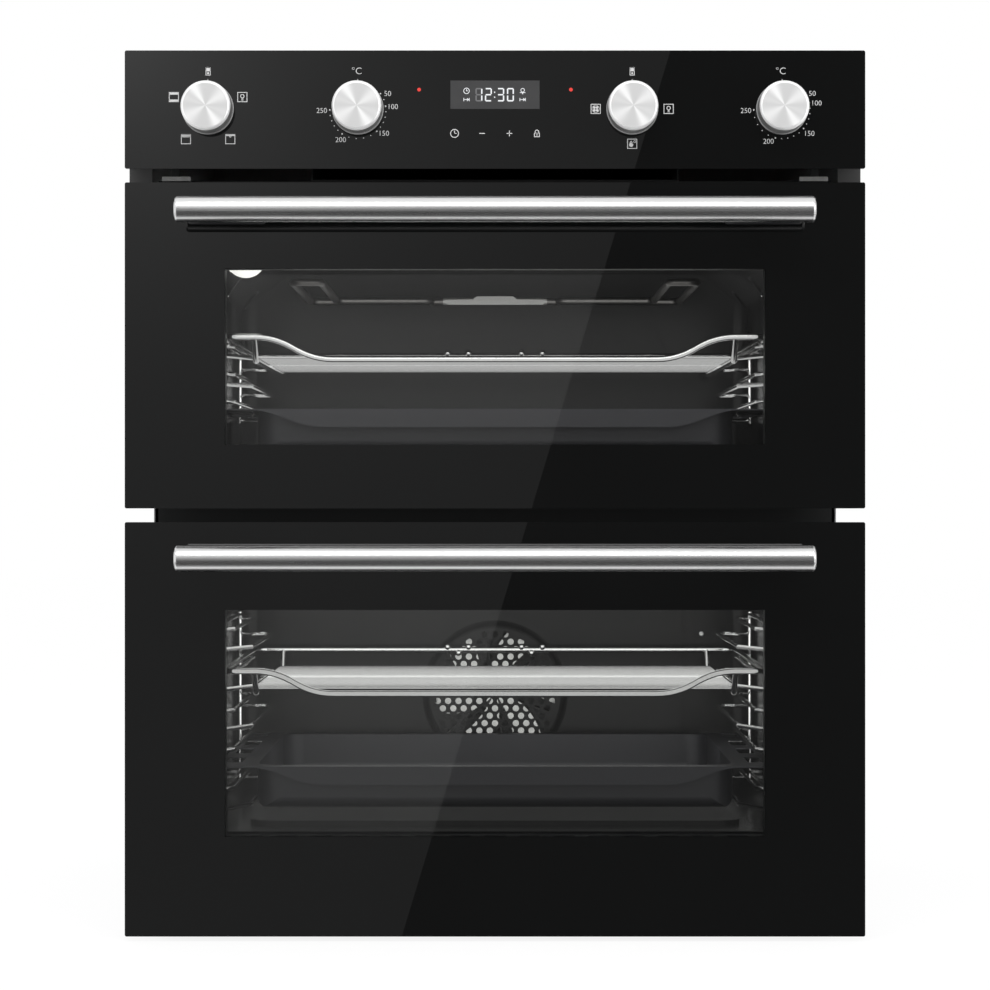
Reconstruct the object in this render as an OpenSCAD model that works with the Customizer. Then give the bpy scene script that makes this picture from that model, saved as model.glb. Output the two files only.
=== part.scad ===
// Built-under double oven, 600 mm niche.
// X runs across the oven, Y from the fronts to the back, Z up. The origin is on the floor, at the
// centre of the oven's outline. Inside placed(), Y is counted from the cabinet's front edge.

/* [Fronts] */
// Width of the glass fronts
front_w = 595; // [590:1:600]
// Height of the lower door's bottom edge over the floor
base_gap = 4; // [3:0.5:8]
// Height of the lower door
lower_door_h = 333; // [325:1:345]
// Height of the upper door
upper_door_h = 262; // [258:1:275]
// Height of the control panel
panel_h = 95; // [90:1:105]
// Gap between the fronts
door_gap = 11; // [8:0.5:14]
// Thickness of the outer glass
glass_t = 4; // [3:0.5:5]
// How far the glass faces stand before the cabinet's edge
glass_face = 20; // [19:0.5:24]

/* [Doors] */
// Depth of the door frame behind the outer glass
door_frame_d = 28; // [26:0.5:30]
// Thickness of the inner panes
pane_t = 4; // [3:0.5:4]
// Width of a door frame over its stiles
door_frame_w = 536; // [530:1:540]
// Width of the clear window between the printed borders
window_w = 434.6; // [400:1:440]
// Height of the upper door's window
upper_window_h = 141.3; // [120:0.1:145]
// Upper window's lower edge over its door's lower edge
upper_window_up = 51.4; // [48:0.1:56]
// Height of the lower door's window
lower_window_h = 182.3; // [160:0.1:190]
// Lower window's lower edge over its door's lower edge
lower_window_up = 80.1; // [70:0.1:85]
// Height of the door pivots over the door's lower edge
pivot_up = 24; // [22:0.5:26]
// Depth of the door pivots behind the glass face
pivot_in = 14; // [13:0.5:15]
// Distance of the hinges from the middle of the oven
hinge_x = 261; // [259:0.5:263]
// Diameter of the hinge pins
hinge_pin_d = 6; // [5:0.5:7]
// Radial running clearance of pins and spindles
running_gap = 0.05; // [0.02:0.01:0.1]
// Thickness of the hinge arms
hinge_arm_t = 4; // [3:0.5:5]

/* [Handles] */
// Diameter of the tubular handles
handle_d = 20.8; // [16:0.1:24]
// Length of the handles
handle_l = 506; // [400:1:530]
// Distance of the handle axis from the glass
handle_reach = 46; // [40:0.5:55]
// Upper handle's axis under its door's top edge
upper_handle_drop = 25.8; // [22:0.1:32]
// Lower handle's axis under its door's top edge
lower_handle_drop = 28.3; // [22:0.1:32]
// Distance of the handle brackets' middles from the middle of the oven
bracket_x = 215.5; // [180:0.5:225]
// Length of a handle bracket along the handle
bracket_l = 63; // [50:1:65]
// Height of a handle bracket at the glass
bracket_h = 16; // [12:0.5:20]

/* [Carcass] */
// Width of the carcass
carcass_w = 557; // [555:1:558]
// Depth of the carcass behind the cabinet's edge
carcass_d = 547; // [520:1:550]
// Thickness of the steel sheets
sheet = 1; // [0.8:0.1:1.2]
// Thickness of the front frame
frame_t = 1.5; // [1:0.1:2]
// Slit between the front frame and each side panel
frame_slit = 3.5; // [2:0.5:5]
// Width of the fixing flanges outside the carcass
flange_w = 17.5; // [16.5:0.5:18]
// Distance between the fixing screws across the oven
screw_pitch_x = 574; // [572:1:576]
// Distance between the fixing screws up the oven
screw_pitch_z = 190; // [150:1:200]
// Diameter of the fixing holes
screw_d = 4.5; // [4:0.1:5]
// Space between the top of the control panel and the carcass
top_drop = 4; // [3:0.5:8]

/* [Cavities] */
// Width of the cavities
cavity_w = 480; // [475:1:482]
// Depth of the cavities' rear walls behind the cabinet's edge
cavity_back = 430; // [425:1:440]
// Height of the upper cavity
upper_cavity_h = 183; // [180:1:186]
// Upper cavity's floor over the upper door's lower edge
upper_floor_up = 37; // [36:0.5:38]
// Height of the lower cavity
lower_cavity_h = 206; // [204:1:215]
// Lower cavity's floor over the lower door's lower edge
lower_floor_up = 80; // [79:0.5:81]
// Thickness of the enamelled steel liners
enamel_t = 1.2; // [1:0.1:1.5]
// Radius of the cavity corners
cavity_r = 15; // [10:1:20]
// Height of the pressed field on the cavity floors
floor_field = 4; // [2:0.5:5]
// Depth of the grooves in the rear walls
groove = 4; // [2:0.5:5]
// Thickness of the insulation blankets
blanket_t = 21; // [18:1:22]

/* [Shelves and trays] */
// Diameter of the rack wires
rack_wire_d = 3.6; // [3.4:0.1:4.2]
// Distance of the inner rack runs from the middle of the oven
inner_run_x = 205; // [204.5:0.1:206]
// Distance of the outer rack runs from the middle of the oven
outer_run_x = 222; // [221:0.5:223]
// Height of each outer run over its inner run
run_step = 11; // [10:0.5:12]
// Height of the lower racks' lowest inner run over the cavity floor
lower_run_up = 15; // [14.5:0.1:16]
// Height between the lower racks' levels
lower_pitch = 33; // [32:0.5:34]
// Height of the upper racks' lowest inner run over the cavity floor
upper_run_up = 42; // [40:0.5:43]
// Height between the upper racks' levels
upper_pitch = 23.5; // [22:0.5:24]
// Diameter of the shelves' frame rods
shelf_rod_d = 5.2; // [5:0.1:5.6]
// Diameter of the shelves' fine wires
shelf_wire_d = 2.4; // [2:0.1:3]
// Distance between the shelves' fine wires
shelf_wire_pitch = 11.5; // [10:0.5:20]
// Width of the shelves over the middles of their side rails
shelf_w = 450; // [448:1:452]
// Gap between the shelves or trays and the cavities' rear walls
shelf_back_gap = 22; // [15:1:30]
// Depth of the shelves' and trays' front edges behind the cabinet's edge
shelf_in = 46; // [44:1:52]
// Width of the sunk grid between its side rods
grid_w = 398; // [394:1:400]
// Depth of the sunk grid under the side rails
grid_drop = 18.8; // [12:0.1:20]
// Overall depth of the trays' bodies
tray_h = 35.5; // [25:0.5:36]
// Thickness of the trays' enamelled steel
tray_t = 1; // [0.8:0.1:1.2]
// Width of the trays over their side flanges
tray_w = 462; // [458:1:464]
// Width of the trays' bodies at the top
tray_body_w = 397; // [390:1:398]

/* [Fans and elements] */
// Diameter of the convection fan's cover
fan_cover_d = 150; // [146:1:156]
// Diameter of the holes in the fan cover
fan_hole_d = 5.9; // [5:0.1:6.2]
// Distance between the holes of a row in the fan cover
fan_hole_pitch = 9.86; // [9.5:0.01:11]
// Distance between the rows of holes
fan_row_pitch = 7; // [6.8:0.1:9]
// Reach of the fan cover's field of holes
fan_field_r = 58; // [50:1:60]
// Height of the fan's axis over the lower cavity's floor
fan_up = 87; // [85:1:95]
// Diameter of the convection fan
fan_d = 124; // [100:1:126]
// Depth of the chamber behind the lower cavity's rear wall
fan_chamber_d = 46; // [42:1:50]
// Diameter of the fan shafts
shaft_d = 8; // [6:0.5:9]
// Diameter of the heating elements' tubes
element_d = 6.5; // [6:0.1:7]
// Diameter of the cooling fan
cooling_fan_d = 150; // [130:1:170]

/* [Controls] */
// Diameter of the knobs' bases
knob_d = 41.5; // [38:0.5:46]
// Distance that the knobs stand out of the glass
knob_reach = 25; // [20:0.5:30]
// Distance of the outer knobs from the control panel's ends
outer_knob_in = 67; // [58:0.5:73]
// Distance between the two knobs of a pair
knob_pair = 120.3; // [110:0.1:130]
// Height of the knobs over the control panel's lower edge
knob_up = 48; // [44:0.5:52]
// Diameter of the knob spindles
spindle_d = 6; // [5:0.5:7]
// Width of the display
display_w = 71.6; // [60:0.1:90]
// Height of the display
display_h = 22.8; // [18:0.1:26]
// Distance of the warning lights from the middle of the oven
lamp_x = 61; // [50:1:70]

/* [Hidden] */

smooth = 48;
wire_sides = 24;

// Colours
glass_black = [0.05, 0.05, 0.055];
pane_tint = [0.5, 0.55, 0.55, 0.3];
steel = [0.72, 0.72, 0.72];
zinc = [0.6, 0.62, 0.64];
chrome = [0.83, 0.83, 0.84];
enamel = [0.16, 0.16, 0.17];
wool = [0.78, 0.76, 0.68];
rubber = [0.09, 0.09, 0.09];
plastic = [0.12, 0.12, 0.13];
white_plastic = [0.85, 0.85, 0.83];

// Heights of the fronts
lower_door_z = base_gap;
upper_door_z = lower_door_z + lower_door_h + door_gap;
panel_z = upper_door_z + upper_door_h + door_gap;
oven_h = panel_z + panel_h;
carcass_top = oven_h - top_drop;

// Where the cabinet's edge lies, so that the oven's outline is centred
handle_front = glass_face + handle_reach + handle_d / 2;
edge_y = (handle_front - carcass_d) / 2;

// Doors, counted from the cabinet's edge
glass_r = 1.5;
window_edge = 1;
glass_back = glass_t - glass_face;
door_back = glass_back + door_frame_d;
pane_back = door_back + pane_t;
pane_up = pivot_up;
pane_down = 8;
frame_up = 6;
frame_down = 5;
frame_wall = 1.5;
corner_cut = 6;
middle_y = -3;
upper_handle_z = upper_door_z + upper_door_h - upper_handle_drop;
lower_handle_z = lower_door_z + lower_door_h - lower_handle_drop;

// Hinges, and the front frame that the doors' lower corners swing past
pivot_y = pivot_in - glass_face;
sweep_r = norm([pivot_in, pivot_up]);
sweep_gap = 0.4;
frame_in = pivot_y + sweep_r + sweep_gap;
frame_back = frame_in + frame_t;
hinge_slot_w = hinge_arm_t + 6;
hinge_boss_r = 8;
hinge_reach_in = 62;
cassette_wall = 2;
cassette_h = 190;
cassette_x = hinge_x - hinge_slot_w / 2 - cassette_wall;
pane_w = 2 * (cassette_x - 0.5);
carrier_w = 14;
carrier_h = 24;
seal_gap = 0.3;
seal_out = 11;
seal_w = 9;

// Carcass
flange_t = 1.2;
flange_z = upper_door_z + pivot_up + sweep_r + 1;
fixing_up = 12;
fold_w = 14;
side_louvres = 6;
terminal_x = 190;
terminal_z = 640;

// Cavities
cavity_front = frame_back;
upper_floor = upper_door_z + upper_floor_up;
lower_floor = lower_door_z + lower_floor_up;
upper_ceiling = upper_floor + upper_cavity_h;
lower_ceiling = lower_floor + lower_cavity_h;
slant_w = 46;
slant_h = 35;
slant_angle = atan2(slant_h, slant_w);
blanket_w = cavity_w + 2 * (enamel_t + blanket_t);
field_w = 410;
field_in = 68;
field_rear = 26;
field_r = 22;
arch_w = 330;
arch_band = 25;
arch_up = 151;
arch_top = upper_floor + arch_up;
arch_r = 60;
side_groove_x = 177;
side_groove_w = 13;

// Convection fan and elements
fan_z = lower_floor + fan_up;
chamber_d = 218;
chamber_back = cavity_back + fan_chamber_d;
fan_opening_d = 132;
fan_blades = 12;
fan_blade_w = 24;
fan_y = cavity_back + 8;
cover_h = 7;
cover_face_r = fan_cover_d / 2 - 13;
cover_step_r = fan_cover_d / 2 - 6;
arm_core_r = 17;
arm_spread = 21;
arm_narrow = 0.16;
arm_swirl = 0.45;
fan_vanes = 6;
vane_t = 1.2;
vane_turn = 30;
vane_radii = [for (r = [arm_core_r - 3:4:fan_d / 2 - 1]) r];
ring_d = 186;
ring_y = cavity_back + 24;
ring_tail_x = 22;
motor_d = 88;
motor_l = 40;
grill_z = upper_ceiling - 27;
grill_in = 143;
grill_outer_x = 173.5;
grill_inner_x = 149;
grill_tail_x = 60;
clip_w = 97;
clip_t = 1.4;
clip_top = grill_z + 4.6;
lamp_y = 80;
lamp_up = 11;
lamp_d = 34;
lamp_dome = 15;
lamp_body_d = 28;

// Shelves and trays
shelf_back = cavity_back - shelf_back_gap;
rail_over_run = (rack_wire_d + shelf_rod_d) / 2;
flange_over_run = rack_wire_d / 2;
lower_run_z = lower_floor + lower_run_up;
upper_run_z = upper_floor + upper_run_up;
lower_shelf_z = lower_run_z + 3 * lower_pitch + run_step + rail_over_run;
upper_shelf_z = upper_run_z + 2 * upper_pitch + run_step + rail_over_run;
lower_tray_z = lower_run_z + lower_pitch + flange_over_run;
upper_tray_z = upper_run_z + flange_over_run;
rack_standoff = 5;
rack_back = 346;
rack_in = 52;
inner_run_in = 97;
outer_run_in = 116;
front_dip = 18.6;
front_flat_x = 149.5;
front_rise_w = 33;
front_bend_r = 60;
top_step = run_step + 3;
grid_in = shelf_in + 27;
grid_back = shelf_back - 13;
tray_front_rim = 16;
tray_back_rim = 14;
tray_slots = [[88, 138], [180, 233], [266, 323], [370, 400]];
apron_h = 15;
apron_flat_x = 144;
apron_rise_w = 57;

// Controls
outer_knob_x = front_w / 2 - outer_knob_in;
inner_knob_x = outer_knob_x - knob_pair;
knob_places = [-outer_knob_x, -inner_knob_x, inner_knob_x, outer_knob_x];
knob_z = panel_z + knob_up;
knob_gap = 0.6;
carrier_back = 2;
spindle_bore = spindle_d + 3;
spindle_in = 14;
switch_w = 42;
switch_d = 24;
thermostat_w = 38;
thermostat_d = 28;
lamp_holder_d = 8;
lamp_holder_l = 16;
display_z = knob_z;
touch_z = panel_z + 28.3;
lamp_z = panel_z + 63.5;
lamp_led_d = 3;
tab_x = 246;

// Cooling
deck_z = upper_ceiling + enamel_t + blanket_t;
scroll_h = 46;
duct_z = panel_z - door_gap / 2;
duct_w = 300;
cooling_y = 360;
cooling_blades = 24;
inlet_d = 12;
inlet_l = 15;

// --- Helpers ---------------------------------------------------------------------------------

// Moves the children from the cabinet's edge to the oven's own origin
module placed() {
  translate([0, edge_y, 0]) children();
}

// An upright plate from y to y + t, drawn in X and Z
module upright(y, t) {
  translate([0, y + t, 0]) rotate([90, 0, 0]) linear_extrude(t) children();
}

// A flat plate from z to z + t, drawn in X and Y
module flat(z, t) {
  translate([0, 0, z]) linear_extrude(t) children();
}

// A bar along X from x to x + l, drawn in Y and Z
module along_x(x, l) {
  translate([x, 0, 0]) rotate([90, 0, 90]) linear_extrude(l) children();
}

// A rectangle with rounded corners between two corner points
module rounded(a, b, r) {
  translate([a[0] + r, a[1]]) square([b[0] - a[0] - 2 * r, b[1] - a[1]]);
  translate([a[0], a[1] + r]) square([b[0] - a[0], b[1] - a[1] - 2 * r]);
  for (x = [a[0] + r, b[0] - r], y = [a[1] + r, b[1] - r]) {
    translate([x, y]) circle(r = r, $fn = smooth);
  }
}

// A box between two corner points
module block(a, b) {
  translate(a) cube(b - a);
}

// A cylinder along Y from y to y + h
module pin_y(x, y, z, d, h) {
  translate([x, y + h, z]) rotate([90, 0, 0]) cylinder(d = d, h = h, $fn = smooth);
}

// A cylinder along X from x to x + h
module pin_x(x, y, z, d, h) {
  translate([x, y, z]) rotate([0, 90, 0]) cylinder(d = d, h = h, $fn = smooth);
}

// Draws the children at both sides of the oven
module both_sides() {
  children();
  mirror([1, 0, 0]) children();
}

function unit(v) = v / norm(v);

// A straight round rod between two points
module rod(a, b, d) {
  v = b - a;
  translate(a) rotate([0, acos(v[2] / norm(v)), atan2(v[1], v[0])]) {
    cylinder(d = d, h = norm(v), $fn = wire_sides);
  }
}

// The bent piece of a wire at a corner, from direction u to direction v
module elbow(corner, u, v, turn, d, r) {
  inward = unit(v - u * (u * v));
  centre = corner - u * (r * tan(turn / 2)) + inward * r;
  side = cross(-inward, u);
  multmatrix([
    [-inward[0], u[0], side[0], centre[0]],
    [-inward[1], u[1], side[1], centre[1]],
    [-inward[2], u[2], side[2], centre[2]],
    [0, 0, 0, 1]
  ]) {
    rotate_extrude(angle = turn, $fn = 64) translate([r, 0]) circle(d = d, $fn = wire_sides);
  }
}

// True for a direction along X, Y or Z
function square_on(v) = max([for (part = v) abs(part)]) > 0.9999;

// A wire through a list of corner points. Square corners are bent to a radius, and at slanting ones
// each run reaches a little past the corner.
module wire(points, d, bend_r) {
  last = len(points) - 1;
  runs = [for (i = [0:last - 1]) unit(points[i + 1] - points[i])];
  turns = [0, for (i = [1:last - 1]) acos(runs[i - 1] * runs[i]), 0];
  bent = [false, for (i = [1:last - 1]) square_on(runs[i - 1]) && square_on(runs[i]), false];
  past = [
    0,
    for (i = [1:last - 1]) bent[i] ? -bend_r * tan(turns[i] / 2) : d / 2 * tan(turns[i] / 2) + 0.2,
    0
  ];
  for (i = [0:last - 1]) {
    rod(points[i] - runs[i] * past[i], points[i + 1] + runs[i] * past[i + 1], d);
  }
  if (last > 1) {
    for (i = [1:last - 1]) {
      if (bent[i]) elbow(points[i], runs[i - 1], runs[i], turns[i], d, bend_r);
    }
  }
}

// --- Carcass ---------------------------------------------------------------------------------

// Openings of a cavity, in X and Z, grown by a wall on every side
module cavity_section(floor_z, ceiling_z, slanted, wall) {
  half = cavity_w / 2 + wall;
  difference() {
    rounded([-half, floor_z - wall], [half, ceiling_z + wall], cavity_r + wall);
    if (slanted) {
      for (side = [-1, 1]) {
        translate([side * (cavity_w / 2 - slant_w), ceiling_z])
          rotate(-side * slant_angle)
            translate([-2 * slant_w, wall]) square([4 * slant_w, 2 * slant_w]);
      }
    }
  }
}

// The slots that the hinge arms pass through
module hinge_slots() {
  for (z = [lower_door_z, upper_door_z], side = [-1, 1]) {
    translate([side * hinge_x - hinge_slot_w / 2, z + pivot_up - hinge_boss_r - 1])
      square([hinge_slot_w, 2 * hinge_boss_r + 2]);
  }
}

module front_frame() {
  half = carcass_w / 2 - frame_slit;
  color(zinc) placed() difference() {
    union() {
      upright(frame_in, frame_t) difference() {
        translate([-half, sheet]) square([2 * half, panel_z - door_gap / 2 - sheet]);
        cavity_section(upper_floor, upper_ceiling, true, 0);
        cavity_section(lower_floor, lower_ceiling, false, 0);
        hinge_slots();
      }
      // Folded edges that stiffen the frame and carry the side panels
      both_sides() {
        block([half - sheet, frame_back, sheet], [half, frame_back + fold_w, panel_z - door_gap / 2]);
      }
      for (z = [upper_door_z - door_gap, panel_z - door_gap / 2 - sheet]) {
        block([-half, frame_back, z], [half, frame_back + 12, z + sheet]);
      }
    }
  }
}

// One side panel with its front fold and fixing flange, drawn on the right
module side_panel() {
  outer = carcass_w / 2;
  hole_z = flange_z + fixing_up;
  color(zinc) placed() difference() {
    union() {
      block([outer - sheet, frame_in, sheet], [outer, carcass_d - sheet, carcass_top]);
      // Above the upper door's sweep the panel reaches the cabinet's edge and turns outwards
      block([outer - sheet, 0, flange_z], [outer, frame_in, carcass_top]);
      block([outer - sheet, 0, flange_z], [outer + flange_w, flange_t, carcass_top]);
      // Folded rear edge
      block([outer - fold_w, carcass_d - 2 * sheet, sheet], [outer - sheet, carcass_d - sheet, carcass_top - sheet]);
    }
    for (z = [hole_z, hole_z + screw_pitch_z]) {
      pin_y(screw_pitch_x / 2, -1, z, screw_d, flange_t + 2);
    }
    // Louvres that let the casing breathe
    for (i = [0:side_louvres - 1]) {
      along_x(outer - sheet - 1, sheet + 2)
        rounded([carcass_d - 130, 470 + i * 16], [carcass_d - 50, 475 + i * 16], 2.4);
    }
  }
}

module side_panel_left() {
  mirror([1, 0, 0]) side_panel();
}

module side_panel_right() {
  side_panel();
}

module top_panel() {
  half = carcass_w / 2 - sheet;
  color(zinc) placed() difference() {
    union() {
      block([-half, carrier_back, carcass_top - sheet], [half, carcass_d - sheet, carcass_top]);
      block([-half, carrier_back, carcass_top - 12], [half, carrier_back + sheet, carcass_top]);
    }
    // Cooling air slots over the fan's motor
    for (i = [-5:5]) {
      flat(carcass_top - sheet - 1, sheet + 2)
        rounded([i * 14 - 2.5, 320], [i * 14 + 2.5, 400], 2.4);
    }
  }
}

module base_panel() {
  half = carcass_w / 2;
  color(zinc) placed() {
    difference() {
      block([-half, frame_in, 0], [half, carcass_d - sheet, sheet]);
      for (side = [-1, 1], y = [110, 440]) {
        translate([side * 180, y, -1]) cylinder(d = 8, h = sheet + 2, $fn = smooth);
      }
    }
    // Stiffening beads pressed up into the casing
    for (x = [-150, 0, 150]) {
      flat(sheet, 3) rounded([x - 20, 90], [x + 20, 460], 12);
    }
  }
}

module back_panel() {
  half = carcass_w / 2;
  color(zinc) placed() {
    difference() {
      upright(carcass_d - sheet, sheet) translate([-half, 0]) square([2 * half, carcass_top]);
      // Louvres at the foot and below the top
      for (x = [-9:9], z = [24, carcass_top - 70]) {
        upright(carcass_d - sheet - 1, sheet + 2)
          rounded([x * 22 - 7, z], [x * 22 + 7, z + 5], 2.4);
      }
      // Opening behind the convection fan's motor
      pin_y(0, carcass_d - sheet - 1, fan_z, 96, sheet + 2);
      // Opening of the terminal box
      upright(carcass_d - sheet - 1, sheet + 2)
        rounded([terminal_x - 38, terminal_z - 20], [terminal_x + 38, terminal_z + 20], 4);
    }
    // Domed grille over the motor opening
    difference() {
      pin_y(0, carcass_d - sheet, fan_z, 96, sheet);
      for (ring = [1:3], i = [0:7]) {
        translate([0, 0, fan_z]) rotate([0, i * 45 + ring * 22.5, 0])
          pin_y(ring * 13, carcass_d - sheet - 1, 0, 7, sheet + 2);
      }
    }
  }
}

// --- Cavities --------------------------------------------------------------------------------

// The space inside a cavity, grown by a wall on every side but the front
module cavity_space(floor_z, ceiling_z, slanted, wall) {
  half = cavity_w / 2 + wall;
  start = wall > 0 ? cavity_front : cavity_front - 1;
  intersection() {
    upright(start, cavity_back + wall - start)
      cavity_section(floor_z, ceiling_z, slanted, wall);
    flat(floor_z - wall, ceiling_z - floor_z + 2 * wall)
      rounded([-half, start - 2 * cavity_r - wall], [half, cavity_back + wall], cavity_r + wall);
  }
}

// The pressed field on a cavity floor
module field(z, h, inset) {
  flat(z, h) rounded([-field_w / 2 + inset, field_in + inset],
    [field_w / 2 - inset, cavity_back - field_rear - inset], field_r - inset);
}

// The arch pressed into the upper cavity's rear wall
module upper_groove(y, h, wall) {
  upright(y, h) intersection() {
    difference() {
      rounded([-arch_w / 2 - wall, upper_floor - arch_w], [arch_w / 2 + wall, arch_top + wall], arch_r);
      rounded([-arch_w / 2 + arch_band + wall, upper_floor - arch_w],
        [arch_w / 2 - arch_band - wall, arch_top - arch_band - wall], arch_r - arch_band);
    }
    translate([-arch_w, upper_floor + cavity_r - wall])
      square([2 * arch_w, upper_cavity_h]);
  }
}

// The two upright grooves in the lower cavity's rear wall
module lower_groove(y, h, wall) {
  both_sides() upright(y, h)
    rounded([side_groove_x - wall, lower_floor + cavity_r - wall],
      [side_groove_x + side_groove_w + wall, lower_ceiling - cavity_r + wall], 6);
}

module upper_outer() {
  cavity_space(upper_floor, upper_ceiling, true, enamel_t);
  upper_groove(cavity_back, groove + enamel_t, enamel_t);
}

module lower_outer() {
  cavity_space(lower_floor, lower_ceiling, false, enamel_t);
  lower_groove(cavity_back, groove + enamel_t, enamel_t);
  pin_y(0, cavity_back, fan_z, chamber_d + 2 * enamel_t, fan_chamber_d + enamel_t);
}

// Places the children on the upper cavity's left slant, a way up from its middle, +Z pointing out
module on_slant(y, up) {
  translate([-(cavity_w - slant_w) / 2, y, upper_ceiling - slant_h / 2])
    rotate([0, -slant_angle, 0]) translate([up, 0, 0]) children();
}

module upper_cavity() {
  color(enamel) placed() difference() {
    upper_outer();
    difference() {
      cavity_space(upper_floor, upper_ceiling, true, 0);
      field(upper_floor - 1, floor_field + 1, 0);
    }
    upper_groove(cavity_back - 1, groove + 1, 0);
    field(upper_floor - enamel_t - 1, floor_field + 1, enamel_t);
    on_slant(lamp_y, lamp_up) translate([0, 0, -5]) cylinder(d = lamp_body_d, h = 12, $fn = smooth);
    // Holes for the grill element's ends
    both_sides() pin_y(grill_tail_x, cavity_back - 2, grill_z, element_d, 2 * groove);
  }
}

module lower_cavity() {
  color(enamel) placed() difference() {
    lower_outer();
    difference() {
      cavity_space(lower_floor, lower_ceiling, false, 0);
      field(lower_floor - 1, floor_field + 1, 0);
    }
    lower_groove(cavity_back - 1, groove + 1, 0);
    field(lower_floor - enamel_t - 1, floor_field + 1, enamel_t);
    // Fan opening, the chamber behind it, and the shaft's and element's holes
    pin_y(0, cavity_back - 1, fan_z, fan_opening_d, enamel_t + 2);
    pin_y(0, cavity_back + enamel_t, fan_z, chamber_d, fan_chamber_d - enamel_t);
    pin_y(0, chamber_back - 1, fan_z, shaft_d + 4, enamel_t + 2);
    both_sides() pin_y(ring_tail_x, chamber_back - 1, fan_z - ring_tail_down(), element_d,
      enamel_t + 2);
  }
}

// The blanket round a liner, with room for the hinge carriers
module blanket(floor_z, ceiling_z, back, pivot_z) {
  difference() {
    block([-blanket_w / 2, cavity_front + 4, floor_z - enamel_t - blanket_t],
      [blanket_w / 2, back, ceiling_z + enamel_t + blanket_t]);
    block([-cavity_w / 2 + 1, cavity_front - 1, floor_z - 1],
      [cavity_w / 2 - 1, cavity_back - 20, ceiling_z - slant_h]);
    both_sides() block([hinge_x - carrier_w / 2 - 2, cavity_front, pivot_z - carrier_h / 2 - 3],
      [blanket_w, cavity_front + hinge_reach_in + 6, pivot_z + carrier_h / 2 + 3]);
    children();
  }
}

module upper_insulation() {
  color(wool) placed() {
    blanket(upper_floor, upper_ceiling, cavity_back + enamel_t + blanket_t,
      upper_door_z + pivot_up) {
      upper_outer();
      on_slant(lamp_y, lamp_up) cylinder(d = lamp_body_d + 4, h = 60, $fn = smooth);
      both_sides() pin_y(grill_tail_x, cavity_back, grill_z, element_d + 4, 60);
    }
  }
}

module lower_insulation() {
  color(wool) placed() {
    blanket(lower_floor, lower_ceiling, chamber_back + enamel_t, lower_door_z + pivot_up) {
      lower_outer();
    }
  }
}

// A seal round a cavity's mouth, on the front frame
module door_seal(floor_z, ceiling_z, slanted) {
  color(rubber) placed() {
    upright(pane_back + seal_gap, frame_in - pane_back - seal_gap) difference() {
      cavity_section(floor_z, ceiling_z, slanted, seal_out);
      cavity_section(floor_z, ceiling_z, slanted, seal_out - seal_w);
    }
  }
}

module upper_door_seal() {
  door_seal(upper_floor, upper_ceiling, true);
}

module lower_door_seal() {
  door_seal(lower_floor, lower_ceiling, false);
}

// --- Convection fan --------------------------------------------------------------------------

module fan_cover_holes() {
  rows = ceil(fan_field_r / fan_row_pitch);
  for (j = [-rows:rows], i = [-rows:rows]) {
    x = (i + (abs(j) % 2) / 2) * fan_hole_pitch;
    z = j * fan_row_pitch;
    if (norm([x, z]) < fan_field_r) {
      translate([x, z]) circle(d = fan_hole_d, $fn = wire_sides);
    }
  }
}

module fan_cover() {
  color(enamel) placed() translate([0, cavity_back, fan_z]) difference() {
    // Pressed plate with a sloping shoulder and a rim that seats on the rear wall
    rotate([90, 0, 0]) rotate_extrude($fn = 96) polygon([
      [0, cover_h], [cover_face_r, cover_h], [cover_face_r + 2, cover_h - 0.8],
      [cover_step_r - 2, 3], [cover_step_r, 2], [fan_cover_d / 2, 2], [fan_cover_d / 2, 0],
      [cover_step_r - 1, 0], [cover_step_r - 3, 1.6], [cover_face_r + 1, cover_h - 1.6],
      [cover_face_r, cover_h - enamel_t], [0, cover_h - enamel_t]
    ]);
    upright(-cover_h - 1, enamel_t + 2) fan_cover_holes();
  }
}

function ring_tail_down() = sqrt(pow(ring_d / 2, 2) - pow(ring_tail_x, 2));

module ring_element() {
  open_angle = 2 * asin(2 * ring_tail_x / ring_d);
  color(steel) placed() translate([0, ring_y, fan_z]) {
    rotate([90, 0, 0]) rotate([0, 0, -90 + open_angle / 2])
      rotate_extrude(angle = 360 - open_angle, $fn = 96)
        translate([ring_d / 2, 0]) circle(d = element_d, $fn = wire_sides);
    for (side = [-1, 1]) {
      translate([side * ring_tail_x, 0, -ring_tail_down()])
        sphere(d = element_d + 0.6, $fn = smooth);
      pin_y(side * ring_tail_x, 0, -ring_tail_down(), element_d, chamber_back - ring_y + 24);
    }
    // Flange that holds the element on the chamber's wall
    upright(chamber_back - ring_y - 1.5, 1.5)
      rounded([-ring_tail_x - 12, -ring_tail_down() - 10],
        [ring_tail_x + 12, -ring_tail_down() + 10], 6);
  }
}

// Half the angle that a vane of the fan covers at a radius, and a point at an angle off its middle
function arm_half(r) = arm_spread - arm_narrow * (r - arm_core_r);
function vane_point(r, off) = r * [cos(vane_turn - arm_swirl * r + off), sin(vane_turn - arm_swirl * r + off)];

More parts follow.
